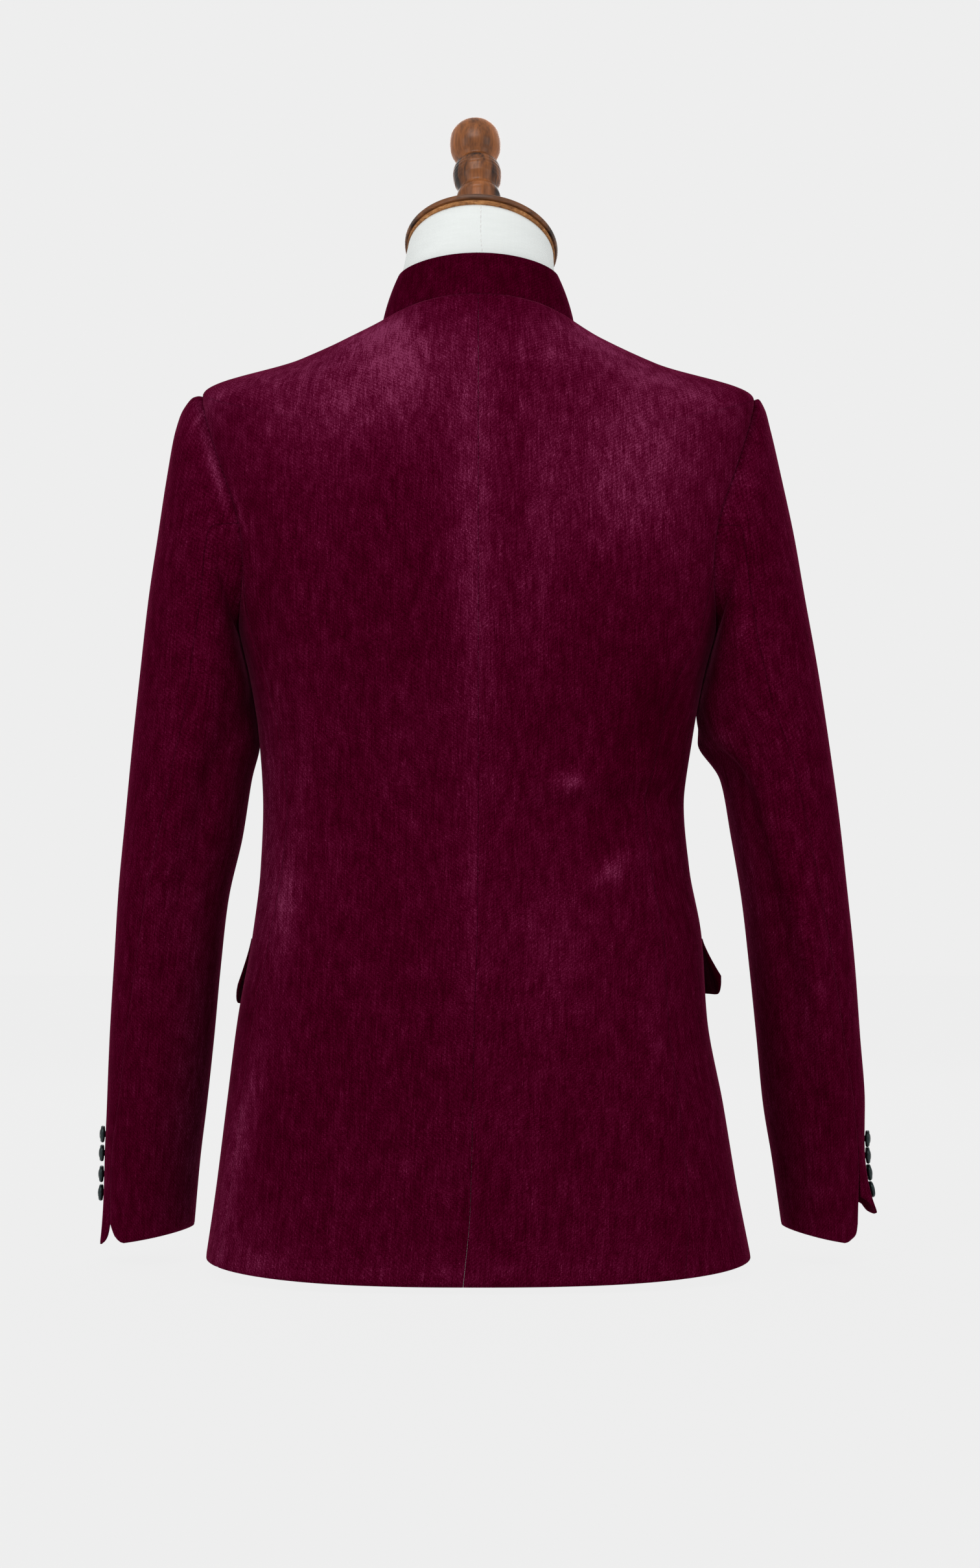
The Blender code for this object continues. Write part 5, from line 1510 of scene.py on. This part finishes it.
BACKDROP = (0.855, 0.855, 0.855)
WORLD_LIGHT = 0.62
FLOOR_GLOW = 0.978        # share of the backdrop's brightness
FLOOR_SIZE = 18.0


def make_world():
    """Even pale backdrop, dimmer as a source of light."""
    world = bpy.data.worlds.new("backdrop")
    world.use_nodes = True
    bpy.context.scene.world = world
    tree = world.node_tree
    seen = feed(tree, tree.nodes["Background"], Color=(*BACKDROP, 1.0))
    dim = feed(tree, tree.nodes.new("ShaderNodeBackground"), Color=(1.0, 1.0, 1.0, 1.0),
               Strength=WORLD_LIGHT)
    path = tree.nodes.new("ShaderNodeLightPath")
    mix = tree.nodes.new("ShaderNodeMixShader")
    for socket, source in zip(mix.inputs, (path.outputs["Is Camera Ray"], dim.outputs[0], seen.outputs[0])):
        tree.links.new(source, socket)
    tree.links.new(mix.outputs[0], tree.nodes["World Output"].inputs["Surface"])


def make_floor():
    """Pale floor that is almost as bright as the backdrop everywhere."""
    made = Nodes("floor")
    made.set(Base_Color=(0.02, 0.02, 0.02, 1.0), Roughness=1.0, Specular_IOR_Level=0.0,
             Emission_Color=(*BACKDROP, 1.0), Emission_Strength=FLOOR_GLOW)
    half = FLOOR_SIZE / 2.0
    mesh = bpy.data.meshes.new("floor")
    mesh.from_pydata([(-half, -half, 0), (half, -half, 0), (half, half, 0), (-half, half, 0)], [],
                     [(0, 1, 2, 3)])
    mesh.materials.append(made.material)
    floor = bpy.data.objects.new("floor", mesh)
    bpy.context.scene.collection.objects.link(floor)


# Name, place, target, width, height and power of each light.
LIGHTS = (
    ("above_back", (0.3, 1.5, 2.3), (0.0, 0.0, 0.45), 1.6, 1.2, 18.0),
    ("left_back", (1.7, 1.5, 1.1), (0.1, 0.0, 0.4), 1.0, 1.6, 6.0),
    ("right_back", (-1.8, 1.3, 1.2), (-0.1, 0.0, 0.4), 1.0, 1.6, 6.0),
    ("front", (0.0, -2.2, 1.6), (0.0, 0.0, 0.45), 2.0, 1.6, 24.0),
)
make_camera()
make_world()
make_floor()
for light in LIGHTS:
    make_light(*light)
bpy.context.scene.view_settings.view_transform = "Standard"
